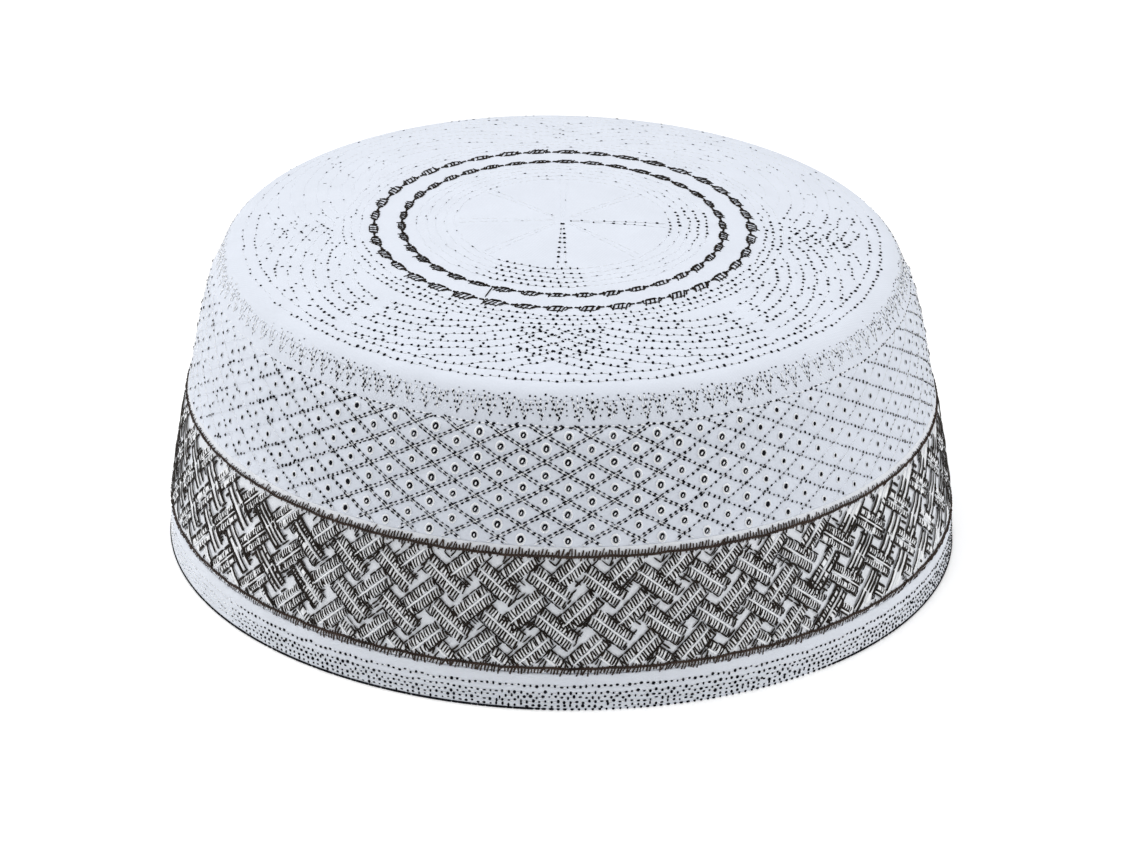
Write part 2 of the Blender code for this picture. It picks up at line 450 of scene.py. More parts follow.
class StitchSettings(bpy.types.PropertyGroup):
    """Sizes and colours of the white stitches."""

    dot_pitch: FloatProperty(
        name="Crown pitch", description="Length of one running stitch on the crown",
        default=1.9 * MM, min=0.8 * MM, max=5.0 * MM, **LENGTH,
    )
    lattice_pitch: FloatProperty(
        name="Lattice pitch", description="Length of one running stitch in the diamonds of the side",
        default=1.42 * MM, min=0.8 * MM, max=5.0 * MM, **LENGTH,
    )
    hem_pitch: FloatProperty(
        name="Hem pitch", description="Length of one running stitch on the hem",
        default=1.42 * MM, min=0.8 * MM, max=5.0 * MM, **LENGTH,
    )
    thread_width: FloatProperty(
        name="Thread width", description="Width of a white stitch",
        default=0.42 * MM, min=0.1 * MM, max=1.0 * MM, **LENGTH,
    )
    # Painted shade: width of the dark grains that stand for the shade of the needle holes
    hole_width: FloatProperty(
        name="Needle hole width", description="Width of the dark hole at each end of a stitch",
        default=0.52 * MM, min=0.1 * MM, max=1.0 * MM, **LENGTH,
    )
    lattice_columns: IntProperty(
        name="Diamonds round", description="Diamonds in one row round the side",
        default=52, min=12, max=80,
    )
    zigzags: IntProperty(
        name="Zigzags round", description="Points of the zigzag under the crown's edge",
        default=131, min=24, max=240,
    )
    thread_colour: FloatVectorProperty(
        name="White thread", description="Colour of the quilting thread",
        default=(0.94, 0.955, 0.98), **COLOUR,
    )
    # Painted shade: near black for the grains standing in for the shade of needle holes, eyelets and rim
    hole_shade_colour: FloatVectorProperty(
        name="Needle hole", description="Colour down in a needle hole",
        default=(0.010, 0.010, 0.014), **COLOUR,
    )


class EmbroiderySettings(bpy.types.PropertyGroup):
    """Sizes and colours of the brown embroidery."""

    basket_repeats: IntProperty(
        name="Basket repeats", description="Repeats of the basket pattern round the band",
        default=47, min=12, max=80,
    )
    bar_length: FloatProperty(
        name="Bar length", description="Length of one satin bar of the basket pattern",
        default=11.0 * MM, min=3.0 * MM, max=20.0 * MM, **LENGTH,
    )
    bar_width: FloatProperty(
        name="Bar width", description="Width of one satin bar of the basket pattern",
        default=1.86 * MM, min=1.0 * MM, max=5.0 * MM, **LENGTH,
    )
    stroke_pitch: FloatProperty(
        name="Stroke pitch", description="Distance from one dark thread of a bar to the next",
        default=0.76 * MM, min=0.4 * MM, max=3.0 * MM, **LENGTH,
    )
    stroke_width: FloatProperty(
        name="Stroke width", description="Width of one dark thread",
        default=0.44 * MM, min=0.1 * MM, max=1.5 * MM, **LENGTH,
    )
    border_pitch: FloatProperty(
        name="Border pitch", description="Distance from one thread of a border to the next",
        default=0.76 * MM, min=0.4 * MM, max=3.0 * MM, **LENGTH,
    )
    ring_leaves: IntProperty(
        name="Leaves round", description="Leaves in each ring on the crown",
        default=38, min=8, max=80,
    )
    thread_colour: FloatVectorProperty(
        name="Brown thread", description="Colour of the dark satin thread",
        default=(0.014, 0.010, 0.0075), **COLOUR,
    )
    border_colour: FloatVectorProperty(
        name="Border thread", description="Colour of the thread in the band's two borders",
        default=(0.034, 0.022, 0.017), **COLOUR,
    )


class StudioSettings(bpy.types.PropertyGroup):
    """The floor and the lights."""

    floor_colour: FloatVectorProperty(
        name="Floor", description="Colour of the pale floor", default=(0.93, 0.93, 0.93), **COLOUR
    )
    floor_glow: FloatProperty(
        name="Floor glow", description="Light that the backlit floor gives off itself",
        default=0.27, min=0.0, max=2.0,
    )
    top_power: FloatProperty(
        name="Top light", description="Power of the large soft light overhead", default=11.8, **POWER
    )
    left_power: FloatProperty(
        name="Left light", description="Power of the soft light at the left", default=6.3, **POWER
    )
    right_power: FloatProperty(
        name="Right light", description="Power of the soft light at the right", default=5.9, **POWER
    )
    world_strength: FloatProperty(
        name="Room light", description="Strength of the even light of the white room",
        default=0.24, min=0.0, max=5.0,
    )


# The cap's face


def smooth_step(start, end, value):
    """0 before start and 1 after end, with a soft change between."""
    share = np.clip((value - start) / (end - start), 0.0, 1.0)
    return share * share * (3.0 - 2.0 * share)


def between(rise, fall, value):
    """0 outside and 1 inside a stretch that starts over rise and ends over fall."""
    return smooth_step(*rise, value) * (1.0 - smooth_step(*fall, value))


def degrees_round(angle):
    """The angle in degrees, brought between -180 and 180."""
    return np.degrees((np.asarray(angle) + math.pi) % FULL_TURN - math.pi)


def angles_round(columns):
    """Even angles right round the cap, from the front on."""
    return FULL_TURN * np.arange(columns) / columns


def running_mean(values, width):
    """Each value's mean with its neighbours; both ends go on in their own line."""
    half = width // 2
    before = 2.0 * values[0] - values[half:0:-1]
    after = 2.0 * values[-1] - values[-2:-half - 2:-1]
    padded = np.concatenate([before, values, after])
    return np.convolve(padded, np.ones(width) / width, mode="valid")


def smooth_face():
    """Runs, radii, heights and outward directions along the smoothed face rows."""
    rows = np.array(FACE_ROWS)
    lengths = np.hypot(*np.diff(rows, axis=0).T)
    row_runs = np.concatenate([[0.0], np.cumsum(lengths)])
    runs = np.arange(0.0, row_runs[-1], FACE_STEP)
    runs = np.append(runs, row_runs[-1])
    radii = np.interp(runs, row_runs, rows[:, 0])
    heights = np.interp(runs, row_runs, rows[:, 1])
    mirror = 4 * FACE_SMOOTHING
    heights = np.concatenate([heights[mirror:0:-1], heights])
    for _ in range(3):
        radii = running_mean(radii, FACE_SMOOTHING)
        heights = running_mean(heights, FACE_SMOOTHING)
    heights = heights[mirror:]
    across = np.gradient(radii, runs)
    along = np.gradient(heights, runs)
    size = np.hypot(across, along)
    return runs * MM, radii * MM, heights * MM, -along / size, across / size


FACE_RUNS, FACE_RADII, FACE_HEIGHTS, FACE_OUT, FACE_UP = smooth_face()


def run_at_radius(radius):
    """The run where the face has that radius."""
    return np.interp(radius, FACE_RADII, FACE_RUNS)


def run_at_height(height):
    """The run where the face has that height."""
    return np.interp(-np.asarray(height), -FACE_HEIGHTS, FACE_RUNS)


CROWN_END = run_at_height(CROWN_EDGE)
SIDE_START = run_at_height(SIDE_TOP)
SIDE_END = run_at_height(SIDE_STEP)


def face_radius(run):
    """The radius of the face at a run."""
    return np.interp(run, FACE_RUNS, FACE_RADII)


def turned(angle, radius, height):
    """Points at a radius and height round the axis, with the crown's slight lean."""
    across = radius * np.sin(angle)
    share = height / CAP_HEIGHT
    x = across + CROWN_LEAN * share
    y = -radius * np.cos(angle)
    z = height - CROWN_DROP * across / SEAM_RADIUS * share
    z = z + CROWN_TILT * y / SEAM_RADIUS * share**4
    return np.stack(np.broadcast_arrays(x, y, z), axis=-1)


def skin(angle, run, lift):
    """Points on the face, or above it by lift."""
    radius = face_radius(run) + lift * np.interp(run, FACE_RUNS, FACE_OUT)
    height = np.interp(run, FACE_RUNS, FACE_HEIGHTS) + lift * np.interp(run, FACE_RUNS, FACE_UP)
    return turned(angle, radius, height)


def skin_normal(angle, run):
    """Directions that stand out of the face."""
    out = np.interp(run, FACE_RUNS, FACE_OUT)
    up = np.interp(run, FACE_RUNS, FACE_UP)
    return np.stack(np.broadcast_arrays(out * np.sin(angle), -out * np.cos(angle), up), axis=-1)


def cloth_level(run):
    """How the cloth lies against the face: the side strip draws a little inside it."""
    start = smooth_step(CROWN_END, CROWN_END + INSET_REACH, run)
    end = smooth_step(SIDE_END - INSET_END, SIDE_END, run)
    return -SIDE_INSET * start * (1.0 - end)


# Meshes


def add_piece(name, points, quads, triangles, material, uvs=None):
    """A smooth-shaded mesh object from arrays of points and faces."""
    quads = np.asarray(quads, dtype=np.int32).reshape(-1, 4)
    triangles = np.asarray(triangles, dtype=np.int32).reshape(-1, 3)
    corners = np.concatenate([quads.ravel(), triangles.ravel()])
    quad_starts = 4 * np.arange(len(quads))
    triangle_starts = 4 * len(quads) + 3 * np.arange(len(triangles))
    starts = np.concatenate([quad_starts, triangle_starts]).astype(np.int32)
    mesh = bpy.data.meshes.new(name)
    mesh.vertices.add(len(points))
    mesh.vertices.foreach_set("co", np.asarray(points, dtype=np.float32).ravel())
    mesh.loops.add(len(corners))
    mesh.loops.foreach_set("vertex_index", corners)
    mesh.polygons.add(len(starts))
    mesh.polygons.foreach_set("loop_start", starts)
    mesh.update(calc_edges=True)
    if mesh.validate():
        raise RuntimeError(name + ": the mesh had faces that Blender had to mend")
    mesh.shade_smooth()
    if uvs is not None:
        layer = mesh.uv_layers.new(name="cloth")
        layer.uv.foreach_set("vector", np.asarray(uvs, dtype=np.float32).ravel())
    mesh.materials.append(material)
    piece = bpy.data.objects.new(name, mesh)
    bpy.context.scene.collection.objects.link(piece)
    return piece


def tube_quads(rings, around, closed=False):
    """Quads that join each ring of points to the next, and when closed the last to the first."""
    ring = np.arange(rings if closed else rings - 1)[:, None]
    here = ring * around
    there = (ring + 1) % rings * around
    side = np.arange(around)
    after = (side + 1) % around
    return np.stack([here + side, there + side, there + after, here + after], axis=-1).reshape(-1, 4)


def shell(name, rings, columns, poles, places, material):
    """A closed shell from rings of points, one ring after another round its section.

    With poles, the first and the last ring are single points; without them the last
    ring joins the first. places gives each ring's place in the weave, for the UVs.
    """
    body_rings = rings[1:-1] if poles else rings
    points = np.concatenate([ring.reshape(-1, 3) for ring in body_rings])
    count = len(body_rings)
    column = np.arange(columns)
    after = (column + 1) % columns
    uvs = []
    for row in range(count - 1 if poles else count):
        corners = ((row, column), (row + 1, column), (row + 1, column + 1), (row, column + 1))
        uvs.append(np.stack([places(*corner) for corner in corners], axis=1).reshape(-1, 2))
    triangles = []
    if poles:
        first = len(points)
        points = np.concatenate([points, rings[0].reshape(1, 3), rings[-1].reshape(1, 3)])
        end_row = count - 1
        final = end_row * columns
        start_fan = np.stack([np.full(columns, first), column, after], axis=1)
        end_fan = np.stack([np.full(columns, first + 1), final + after, final + column], axis=1)
        triangles = np.concatenate([start_fan, end_fan])
        middle = np.zeros((columns, 2))
        start_uvs = np.stack([middle, places(0, column), places(0, column + 1)], axis=1)
        end_uvs = np.stack([middle, places(end_row, column + 1), places(end_row, column)], axis=1)
        uvs += [start_uvs.reshape(-1, 2), end_uvs.reshape(-1, 2)]
    quads = tube_quads(count, columns, closed=not poles)
    return add_piece(name, points, quads, triangles, material, np.concatenate(uvs))


def strip_places(columns, radius, way):
    """Places in the weave of a strip round the cap; way measures the cloth down its rings."""

    def places(row, column):
        across = FULL_TURN * column / columns * radius
        return np.stack([across, np.full(len(column), way[row])], axis=1)

    return places


class Threads:
    """Grains of thread gathered for one piece."""

    def __init__(self):
        self.points = []
        self.quads = []
        self.triangles = []
        self.count = 0

    def add(self, points, quads, triangles):
        """Takes in points, and faces that are numbered from the first of them."""
        self.points.append(points.reshape(-1, 3))
        self.quads.append(quads.reshape(-1, 4) + self.count)
        self.triangles.append(triangles.reshape(-1, 3) + self.count)
        self.count += len(self.points[-1])

    def settle(self, name, material, nodes=()):
        """Makes the piece and puts it on the cap's body."""
        parts = [np.concatenate(part) for part in (self.points, self.quads, self.triangles)]
        settle_piece(add_piece(name, *parts, material), nodes)

    def lay(self, ends, width, thickness, lift, shape, sides=3):
        """Lays one closed grain for each row of ends.

        ends holds start angle, start run, end angle and end run. width, thickness and
        lift are numbers or one for each grain. shape gives, along the grain, the share
        of its length, of its rise above the lift and of its girth.
        """
        ends = np.asarray(ends).reshape(-1, 4)
        stations, rise, girth = (np.array(column) for column in zip(*shape))
        width = np.broadcast_to(width, len(ends))[:, None]
        thickness = np.broadcast_to(thickness, len(ends))[:, None]
        lift = np.broadcast_to(lift, len(ends))[:, None]
        angle = ends[:, 0:1] + (ends[:, 2:3] - ends[:, 0:1]) * stations
        run = ends[:, 1:2] + (ends[:, 3:4] - ends[:, 1:2]) * stations
        height = cloth_level(run) + lift + thickness * rise
        middle = skin(angle, run, height)
        normal = skin_normal(angle, run)
        along = middle[:, -1:] - middle[:, :1]
        along = along / np.maximum(np.linalg.norm(along, axis=-1, keepdims=True), 1e-9)
        beside = np.cross(np.broadcast_to(along, normal.shape), normal)
        beside /= np.maximum(np.linalg.norm(beside, axis=-1, keepdims=True), 1e-9)
        turns = math.pi / 2 + FULL_TURN * np.arange(sides) / sides
        half_width = (0.5 * width * girth[1:-1])[:, :, None, None]
        half_thickness = (0.5 * thickness * girth[1:-1])[:, :, None, None]
        rings = middle[:, 1:-1, None, :]
        rings = rings + beside[:, 1:-1, None, :] * np.cos(turns)[:, None] * half_width
        rings = rings + normal[:, 1:-1, None, :] * np.sin(turns)[:, None] * half_thickness
        count = len(ends)
        inner = len(stations) - 2
        points = np.concatenate(
            [middle[:, :1], rings.reshape(count, inner * sides, 3), middle[:, -1:]], axis=1
        )
        side = np.arange(sides)
        after = (side + 1) % sides
        quads = 1 + tube_quads(inner, sides)
        tip = np.zeros(sides, dtype=int)
        far = np.full(sides, 1 + inner * sides)
        final = 1 + (inner - 1) * sides
        start_fan = np.stack([tip, 1 + side, 1 + after], 1)
        end_fan = np.stack([far, final + after, final + side], 1)
        triangles = np.concatenate([start_fan, end_fan])
        offset = (inner * sides + 2) * np.arange(count)[:, None, None]
        self.add(points, quads[None] + offset, triangles[None] + offset)

    def lay_ring(self, run, width, thickness, lift, columns, sides, sway):
        """Lays one closed cord right round the cap; sway moves it along the cloth."""
        angle = angles_round(columns)
        run = run + sway(angle)
        turns = angles_round(sides)
        shift = 0.5 * width * np.cos(turns)
        height = cloth_level(run)[:, None] + (lift + 0.5 * thickness * np.sin(turns))
        points = skin(angle[:, None], run[:, None] + shift, height)
        quads = tube_quads(columns, sides, closed=True)[:, [0, 3, 2, 1]]
        self.add(points, quads, np.zeros((0, 3), dtype=int))


# Shapes of a grain: share of its length, of its rise and of its girth
STITCH_SHAPE = ((0.0, -0.6, 0.0), (0.22, 0.25, 1.0), (0.78, 0.25, 1.0), (1.0, -0.6, 0.0))
HOLE_SHAPE = ((0.0, 0.0, 0.0), (0.25, 0.0, 1.0), (0.75, 0.0, 1.0), (1.0, 0.0, 0.0))
SATIN_SHAPE = (
    (0.0, -0.9, 0.0),
    (0.07, -0.2, 0.85),
    (0.5, 0.45, 1.0),
    (0.93, -0.2, 0.85),
    (1.0, -0.9, 0.0),
)
PAD_SHAPE = (
    (0.0, -0.5, 0.0),
    (0.04, -0.1, 0.8),
    (0.2, 0.0, 1.0),
    (0.5, 0.0, 1.0),
    (0.8, 0.0, 1.0),
    (0.96, -0.1, 0.8),
    (1.0, -0.5, 0.0),
)

# Fine and bold lines of the band: width, lift and shape, their girth at the front and at the
# sides, and the degrees from the front over which it changes
OUTLINE_KINDS = (
    ("fine", 0.44 * MM, 0.18 * MM, STITCH_SHAPE, 1.0, 1.7, (36.0, 66.0)),
    ("bold", 0.90 * MM, 0.28 * MM, SATIN_SHAPE, 0.55, 1.0, (36.0, 52.0)),
)

# Threads of a leaf: least and greatest width in millimetres, thickness, lift and shape
LEAF_KINDS = (
    ("hatching", 0.36, 0.52, 0.24 * MM, 0.08 * MM, SATIN_SHAPE),
    ("fine", 0.30, 0.42, 0.24 * MM, 0.06 * MM, STITCH_SHAPE),
    ("bold", 0.50, 0.72, 0.34 * MM, 0.06 * MM, STITCH_SHAPE),
)


# Paths of stitches


def step_along(path, pitch):
    """Places a pitch apart along a path of (angle, run) rows."""
    path = np.asarray(path)
    points = skin(path[:, 0], path[:, 1], 0.0)
    lengths = np.linalg.norm(np.diff(points, axis=0), axis=1)
    way = np.concatenate([[0.0], np.cumsum(lengths)])
    count = max(int(way[-1] / pitch), 1)
    marks = np.arange(count + 1) * way[-1] / count
    return np.stack([np.interp(marks, way, path[:, 0]), np.interp(marks, way, path[:, 1])], axis=1)


def round_path(run, phase=0.0, points=241):
    """A path right round the cap at one run."""
    angle = np.linspace(0.0, FULL_TURN, points) + phase
    return np.stack([angle, np.full(points, run)], axis=1)


def running_stitches(path, pitch, holes, random):
    """Threads and needle holes of a row of running stitches, as rows of ends.

    holes gives the length of a hole, a number or a function of the angle, and how far a
    hole may stray from its row.
    """
    hole_length, stray = holes
    marks = step_along(path, pitch)
    start = marks[:-1]
    reach = marks[1:] - start
    size = np.abs(reach[:, 0]) * face_radius(start[:, 1])
    size = np.maximum(np.hypot(size, reach[:, 1]), 1e-6)
    start = start + random.uniform(-0.06, 0.06, (len(start), 1)) * reach
    start[:, 1] += stray * random.normal(0.0, 1.0, len(start))
    length = hole_length(start[:, 0]) if callable(hole_length) else hole_length
    length = length * random.uniform(0.65, 1.3, len(start))
    half = (0.5 * length / size)[:, None]
    holes = np.concatenate([start - half * reach, start + half * reach], axis=1)
    threads = np.concatenate([start + 0.8 * half * reach, start + (1.0 - 0.8 * half) * reach], axis=1)
    return threads, holes


def pulled(angle):
    """How tight the thread was drawn round the cap, which opens the needle holes."""
    ripple = 0.5 * np.sin(5.0 * angle + 0.7) + 0.5 * np.sin(11.0 * angle + 2.1)
    return 1.0 + 0.10 * ripple


def faded(steps, away):
    """1 at the front, and less by an amount over each of the given degrees from it."""
    tight = 1.0
    for amount, degrees in steps:
        tight = tight - amount * smooth_step(*degrees, away)
    return tight


def crown_strength(angle, run):
    """How strongly the crown's rows show: most at the front, least at the back.

    Inside the brown rings they show strongly only at the front and at the right.
    """
    turn = degrees_round(angle)
    away = np.abs(turn)
    inner = 0.2 + 0.8 * between(*INNER_FRONT, turn) + 0.55 * between(*INNER_FLANK, turn)
    inner = inner * (0.68 + 0.32 * smooth_step(*SPOKES_END, run))
    share = smooth_step(*INNER_ENDS, run)
    # The outer rows' fade at the left is painted light: the painted hole shade thins out where the left
    # light falls
    outer = np.where(turn > 0.0, faded(CROWN_RIGHT, away), faded(CROWN_LEFT, away))
    return pulled(angle) * (outer * share + inner * (1.0 - share))


def crown_depth(angle, run, depth):
    """How deep a row of the crown draws the cloth in."""
    return CROWN_SHALLOW * depth * np.minimum(crown_strength(angle, run), 1.0)


def lattice_strength(angle, lean):
    """The rows of one slant fade at the left and, for the rising ones, at the right."""
    turn = degrees_round(angle)
    # The fade at the left is painted light: the painted hole shade thins out where the left light falls
    left = 0.64 * between(LEFT_FADES, LEFT_FADE_ENDS, turn)
    right = (0.68 if lean > 0.0 else 0.08) * between(RIGHT_FADES, RIGHT_FADE_ENDS, turn)
    return pulled(angle) * (1.0 - left - right)


def edge_strength(angle):
    """The rows at the crown's edge fade at the left, and a little at the right."""
    turn = degrees_round(angle)
    # The fade at the left is painted light: the painted hole shade thins out where the left light falls
    left = 0.66 * smooth_step(*LEFT_FADES, turn) * (1.0 - 0.62 * smooth_step(*LEFT_FADE_ENDS, turn))
    right = 0.25 * smooth_step(30.0, 60.0, turn)
    return pulled(angle) * (1.0 - left - right)


def hem_strength(angle):
    """The hem's rows fade at the left."""
    # The fade at the left is painted light: the painted hole shade thins out where the left light falls
    left = 0.8 * between((-44.0, -60.0), LEFT_FADE_ENDS, degrees_round(angle))
    return pulled(angle) * (1.0 - left)


def rim_shadow_length(angle):
    """Painted shadow along the rim: its dark dashes run together, and part only at the right of the front.
    """
    parted = between((-6.0, 2.0), (36.0, 46.0), degrees_round(angle))
    return (2.5 - 1.7 * parted) * MM


def lattice_dots(angle):
    """How far the diamonds' double lines of dashes have become single rows of dots."""
    turn = degrees_round(angle)
    return between((6.0, 34.0), RIGHT_BACK, turn) + between((-26.0, -46.0), LEFT_BACK, turn)


def lattice_end(angle):
    """How far the diamonds die out before they pass out of sight at the left: painted light, as
    the painted hole shade thins out where the left light falls.
    """
    return between((-58.0, -76.0), LEFT_BACK, degrees_round(angle))


def lattice_hole_length(angle):
    """Long dashes, which shorten to dots at both sides and lengthen a little at the far left."""
    sparse = smooth_step(-36.0, -56.0, degrees_round(angle))
    return (1.05 - 0.50 * lattice_dots(angle) + 0.25 * sparse) * MM


LATTICE_HOLES = (lattice_hole_length, 0.08 * MM)


# The crown's rows


def spoke_paths():
    """Two rows along each spoke, drawing apart from the middle outward."""
    paths = []
    radius = np.linspace(SPOKE_START, SPOKE_END, 12)
    share = (radius - SPOKE_START) / (SPOKE_END - SPOKE_START)
    apart = 0.5 * (SPOKE_NARROW + share * (SPOKE_WIDE - SPOKE_NARROW))
    for middle in angles_round(SPOKES):
        for side in (-1.0, 1.0):
            angle = middle + side * apart / radius
            paths.append(np.stack([angle, run_at_radius(radius)], axis=1))
    return paths


def fan_rows():
    """Each row of each fan: its quarter, heading, side, number and first distance out."""
    for quarter, heading in enumerate(angles_round(QUARTERS)):
        for side, start in zip((-1.0, 1.0), FAN_STARTS):
            for row in range(FAN_ROWS):
                yield quarter, heading, side, row, start


def on_fan(radius, turn):
    """Whether places lie between the brown ring and the crown's edge, and inside the fan."""
    return (radius > FAN_INNER_RADIUS) & (radius < FAN_OUTER_RADIUS) & (turn < FAN_EDGE_ANGLE)


def fan_paths():
    """Nested arcs of the fans: each pair bulges the same way and crosses in its middle."""
    paths = []
    for quarter, heading, side, row, start in fan_rows():
        reach = start + row * FAN_ROW_GAP - FAN_MIDDLE_OUT
        overlap = FAN_OVERLAP if quarter == 0 else FAN_SIDE_OVERLAP
        across = np.linspace(-overlap, 2.2 * FAN_MIDDLE_ACROSS, 61)
        room = reach**2 - (across - FAN_MIDDLE_ACROSS) ** 2
        across = across[room > 0.0]
        out = FAN_MIDDLE_OUT + np.sqrt(room[room > 0.0])
        turn = np.arctan2(across, out)
        radius = np.hypot(across, out)
        keep = on_fan(radius, turn)
        if keep.sum() > 3:
            angle = heading + side * turn[keep]
            paths.append(np.stack([angle, run_at_radius(radius[keep])], axis=1))
    return paths


def fan_eyelets():
    """Larger holes between the arcs: along both edges of a fan and across its middle."""
    places = []
    for _, heading, side, row, start in fan_rows():
        reach = start + (row + 0.5) * FAN_ROW_GAP - FAN_MIDDLE_OUT
        for eyelet in FAN_EYELETS:
            across = eyelet + (row % 3) * FAN_EYELET_STAGGER
            room = reach**2 - (across - FAN_MIDDLE_ACROSS) ** 2
            if room > 0.0:
                out = FAN_MIDDLE_OUT + math.sqrt(room)
                radius = math.hypot(across, out)
                turn = math.atan2(across, out)
                if on_fan(radius, turn):
                    places.append((heading + side * turn, run_at_radius(radius)))
    return np.array(places)


def crown_paths():
    """Every row of running stitches on the crown, with its share of the usual pitch."""
    rows = [(path, SPOKE_PITCH_SHARE) for path in spoke_paths()]
    rings = INNER_DOT_RINGS + MIDDLE_DOT_RINGS + OUTER_DOT_RINGS
    for index, radius in enumerate(rings):
        rows.append((round_path(run_at_radius(radius * MM), RING_PHASE_STEP * index), 1.0))
    rows.extend((path, FAN_PITCH_SHARE) for path in fan_paths())
    return rows


# The side's rows

LATTICE_FIRST_RUN = run_at_height(LATTICE_FIRST_ROW)
LATTICE_STEP = (run_at_height(LATTICE_LAST_ROW) - LATTICE_FIRST_RUN) / (LATTICE_ROWS - 1)


def lattice_place(angle, run, columns):
    """Diamond coordinates: whole numbers mark the eyelets' columns and rows."""
    across = (angle - LATTICE_PHASE) * columns / FULL_TURN
    down = (run - LATTICE_FIRST_RUN) / LATTICE_STEP
    return across, down


def lattice_scale(run, columns):
    """The width of a diamond at a run, and how many steps across its lines come to a metre."""
    width = FULL_TURN * face_radius(run) / columns
    return width, np.hypot(2.0 / width, 1.0 / LATTICE_STEP)


def lattice_dent(angle, run, columns, reach):
    """How deep the diamonds' rows draw the cloth in, as a share of the usual depth."""
    across, down = lattice_place(angle, run, columns)
    _, steepness = lattice_scale(run, columns)
    deepest = np.zeros_like(angle)
    for lean in (1.0, -1.0):
        place = (2.0 * across + lean * down - 1.0) / 2.0
        gap = 2.0 * np.abs(place - np.round(place)) / steepness
        dent = lattice_strength(angle, lean) * np.exp(-((gap / reach) ** 2))
        deepest = np.maximum(deepest, dent)
    return deepest


def lattice_paths(columns, lean, side):
    """The rows of one slant, from the top of the diamonds to the band.

    side says where the rows lie: -1 and 1 for the two rows of a line, 0 between them.
    """
    run = np.linspace(run_at_height(LATTICE_TOP), run_at_height(LATTICE_BOTTOM), 25)
    column_width, steepness = lattice_scale(run, columns)
    _, down = lattice_place(0.0, run, columns)
    paths = []
    for line in range(columns):
        across = 0.5 * (2.0 * line + 1.0 - lean * down)
        angle = LATTICE_PHASE + across * FULL_TURN / columns
        gap = DOUBLE_ROW_GAP * (1.0 - 0.8 * lattice_dots(angle))
        shift = side * 0.5 * gap / steepness
        along = shift * 2.0 / column_width / face_radius(run)
        paths.append(np.stack([angle + along, run + lean * shift / LATTICE_STEP], axis=1))
    return paths


def zigzag_paths(count, random):
    """The legs of the zigzag: a V on every foot, with a short leg inside it."""
    top = run_at_height(ZIGZAG_TOP)
    bottom = run_at_height(ZIGZAG_BOTTOM)
    step = FULL_TURN / count
    paths = []
    for point in range(count):
        foot = (point + random.normal(0.0, 0.06)) * step
        rise = (top - bottom) * random.uniform(0.86, 1.08)
        for lean, low, high in ((-0.47, 0.0, 1.0), (-0.09, 0.38, 0.92), (0.45, 0.10, 0.86)):
            start = (foot + low * lean * step, bottom + low * rise)
            end = (foot + high * lean * step, bottom + high * rise)
            paths.append(np.array([start, end]))
    return paths


# Materials

# Finishes: roughness, strength of the bump, specular level and sheen
COTTON_FINISH = (0.88, 0.35, 0.2, 0.06)
WHITE_FINISH = (0.6, 0.6, 0.25, 0.06)
BROWN_FINISH = (0.55, 0.6, 0.12, 0.0)
BORDER_FINISH = (0.55, 0.6, 0.15, 0.0)
HOLE_FINISH = (0.95, 0.3, 0.05, 0.0)

# Cottons: the material's name and its colour among the cloth's settings
COTTON_LOOKS = {
    "quilted": ("woven_cotton", "cotton_colour"),
    "hem": ("woven_hem_cotton", "hem_colour"),
    "band": ("woven_band_cotton", "band_colour"),
}

# Threads: the material's name, its settings and its colour among them, how many fibres come to
# a metre, the darkest and the lightest share of the colour, and the finish
THREAD_LOOKS = {
    "white": ("quilting_thread", "cap_stitches", "thread_colour", 5000.0, (0.95, 1.03), WHITE_FINISH),
    "brown": ("dark_satin_thread", "cap_embroidery", "thread_colour", 5000.0, (0.6, 2.0), BROWN_FINISH),
    "border": ("border_satin_thread", "cap_embroidery", "border_colour", 5000.0, (0.6, 2.0), BORDER_FINISH),
    # The hole look is painted shade: near-black grains for the shade of needle holes, eyelets and rim
    "hole": ("hole_shade", "cap_stitches", "hole_shade_colour", 3000.0, (0.7, 1.5), HOLE_FINISH),
}

# Darkest and lightest share of the cottons' colour
COTTON_TONES = (0.95, 1.02)

# How many slubs, patches and clouds come to a metre
SLUBS = 1100.0
PATCHES = 260.0
CLOUDS = 90.0

# Height of the bumps that yarns and fibres make
BUMP_HEIGHT = 0.08 * MM


def feed(tree, value, socket):
    """Links a node's output to a socket, or sets the socket to a plain value."""
    if isinstance(value, bpy.types.NodeSocket):
        tree.links.new(value, socket)
    else:
        socket.default_value = value


def add_math(tree, operation, *values):
    """The result of a sum over outputs of nodes and plain numbers."""
    node = tree.nodes.new("ShaderNodeMath")
    node.operation = operation
    for value, socket in zip(values, node.inputs):
        feed(tree, value, socket)
    return node.outputs[0]


def add_noise(tree, place, scale, detail):
    """Soft noise over a place."""
    noise = tree.nodes.new("ShaderNodeTexNoise")
    for value, key in ((place, "Vector"), (scale, "Scale"), (detail, "Detail")):
        feed(tree, value, noise.inputs[key])
    return noise.outputs["Fac"]


def add_ramp(tree, share, colours, positions=(0.0, 1.0)):
    """A colour between two, by a share."""
    ramp = tree.nodes.new("ShaderNodeValToRGB")
    for element, colour, position in zip(ramp.color_ramp.elements, colours, positions):
        element.position = position
        element.color = colour
    feed(tree, share, ramp.inputs["Fac"])
    return ramp.outputs["Color"]


def start_group(name, size):
    """An effect that takes a place and one size, and gives a height and a tone."""
    group = bpy.data.node_groups.new(name, "ShaderNodeTree")
    face = group.interface
    face.new_socket("Place", in_out="INPUT", socket_type="NodeSocketVector")
    face.new_socket(size, in_out="INPUT", socket_type="NodeSocketFloat")
    face.new_socket("Height", in_out="OUTPUT", socket_type="NodeSocketFloat")
    face.new_socket("Tone", in_out="OUTPUT", socket_type="NodeSocketFloat")
    given = group.nodes.new("NodeGroupInput").outputs
    result = group.nodes.new("NodeGroupOutput").inputs
    return group, given, result


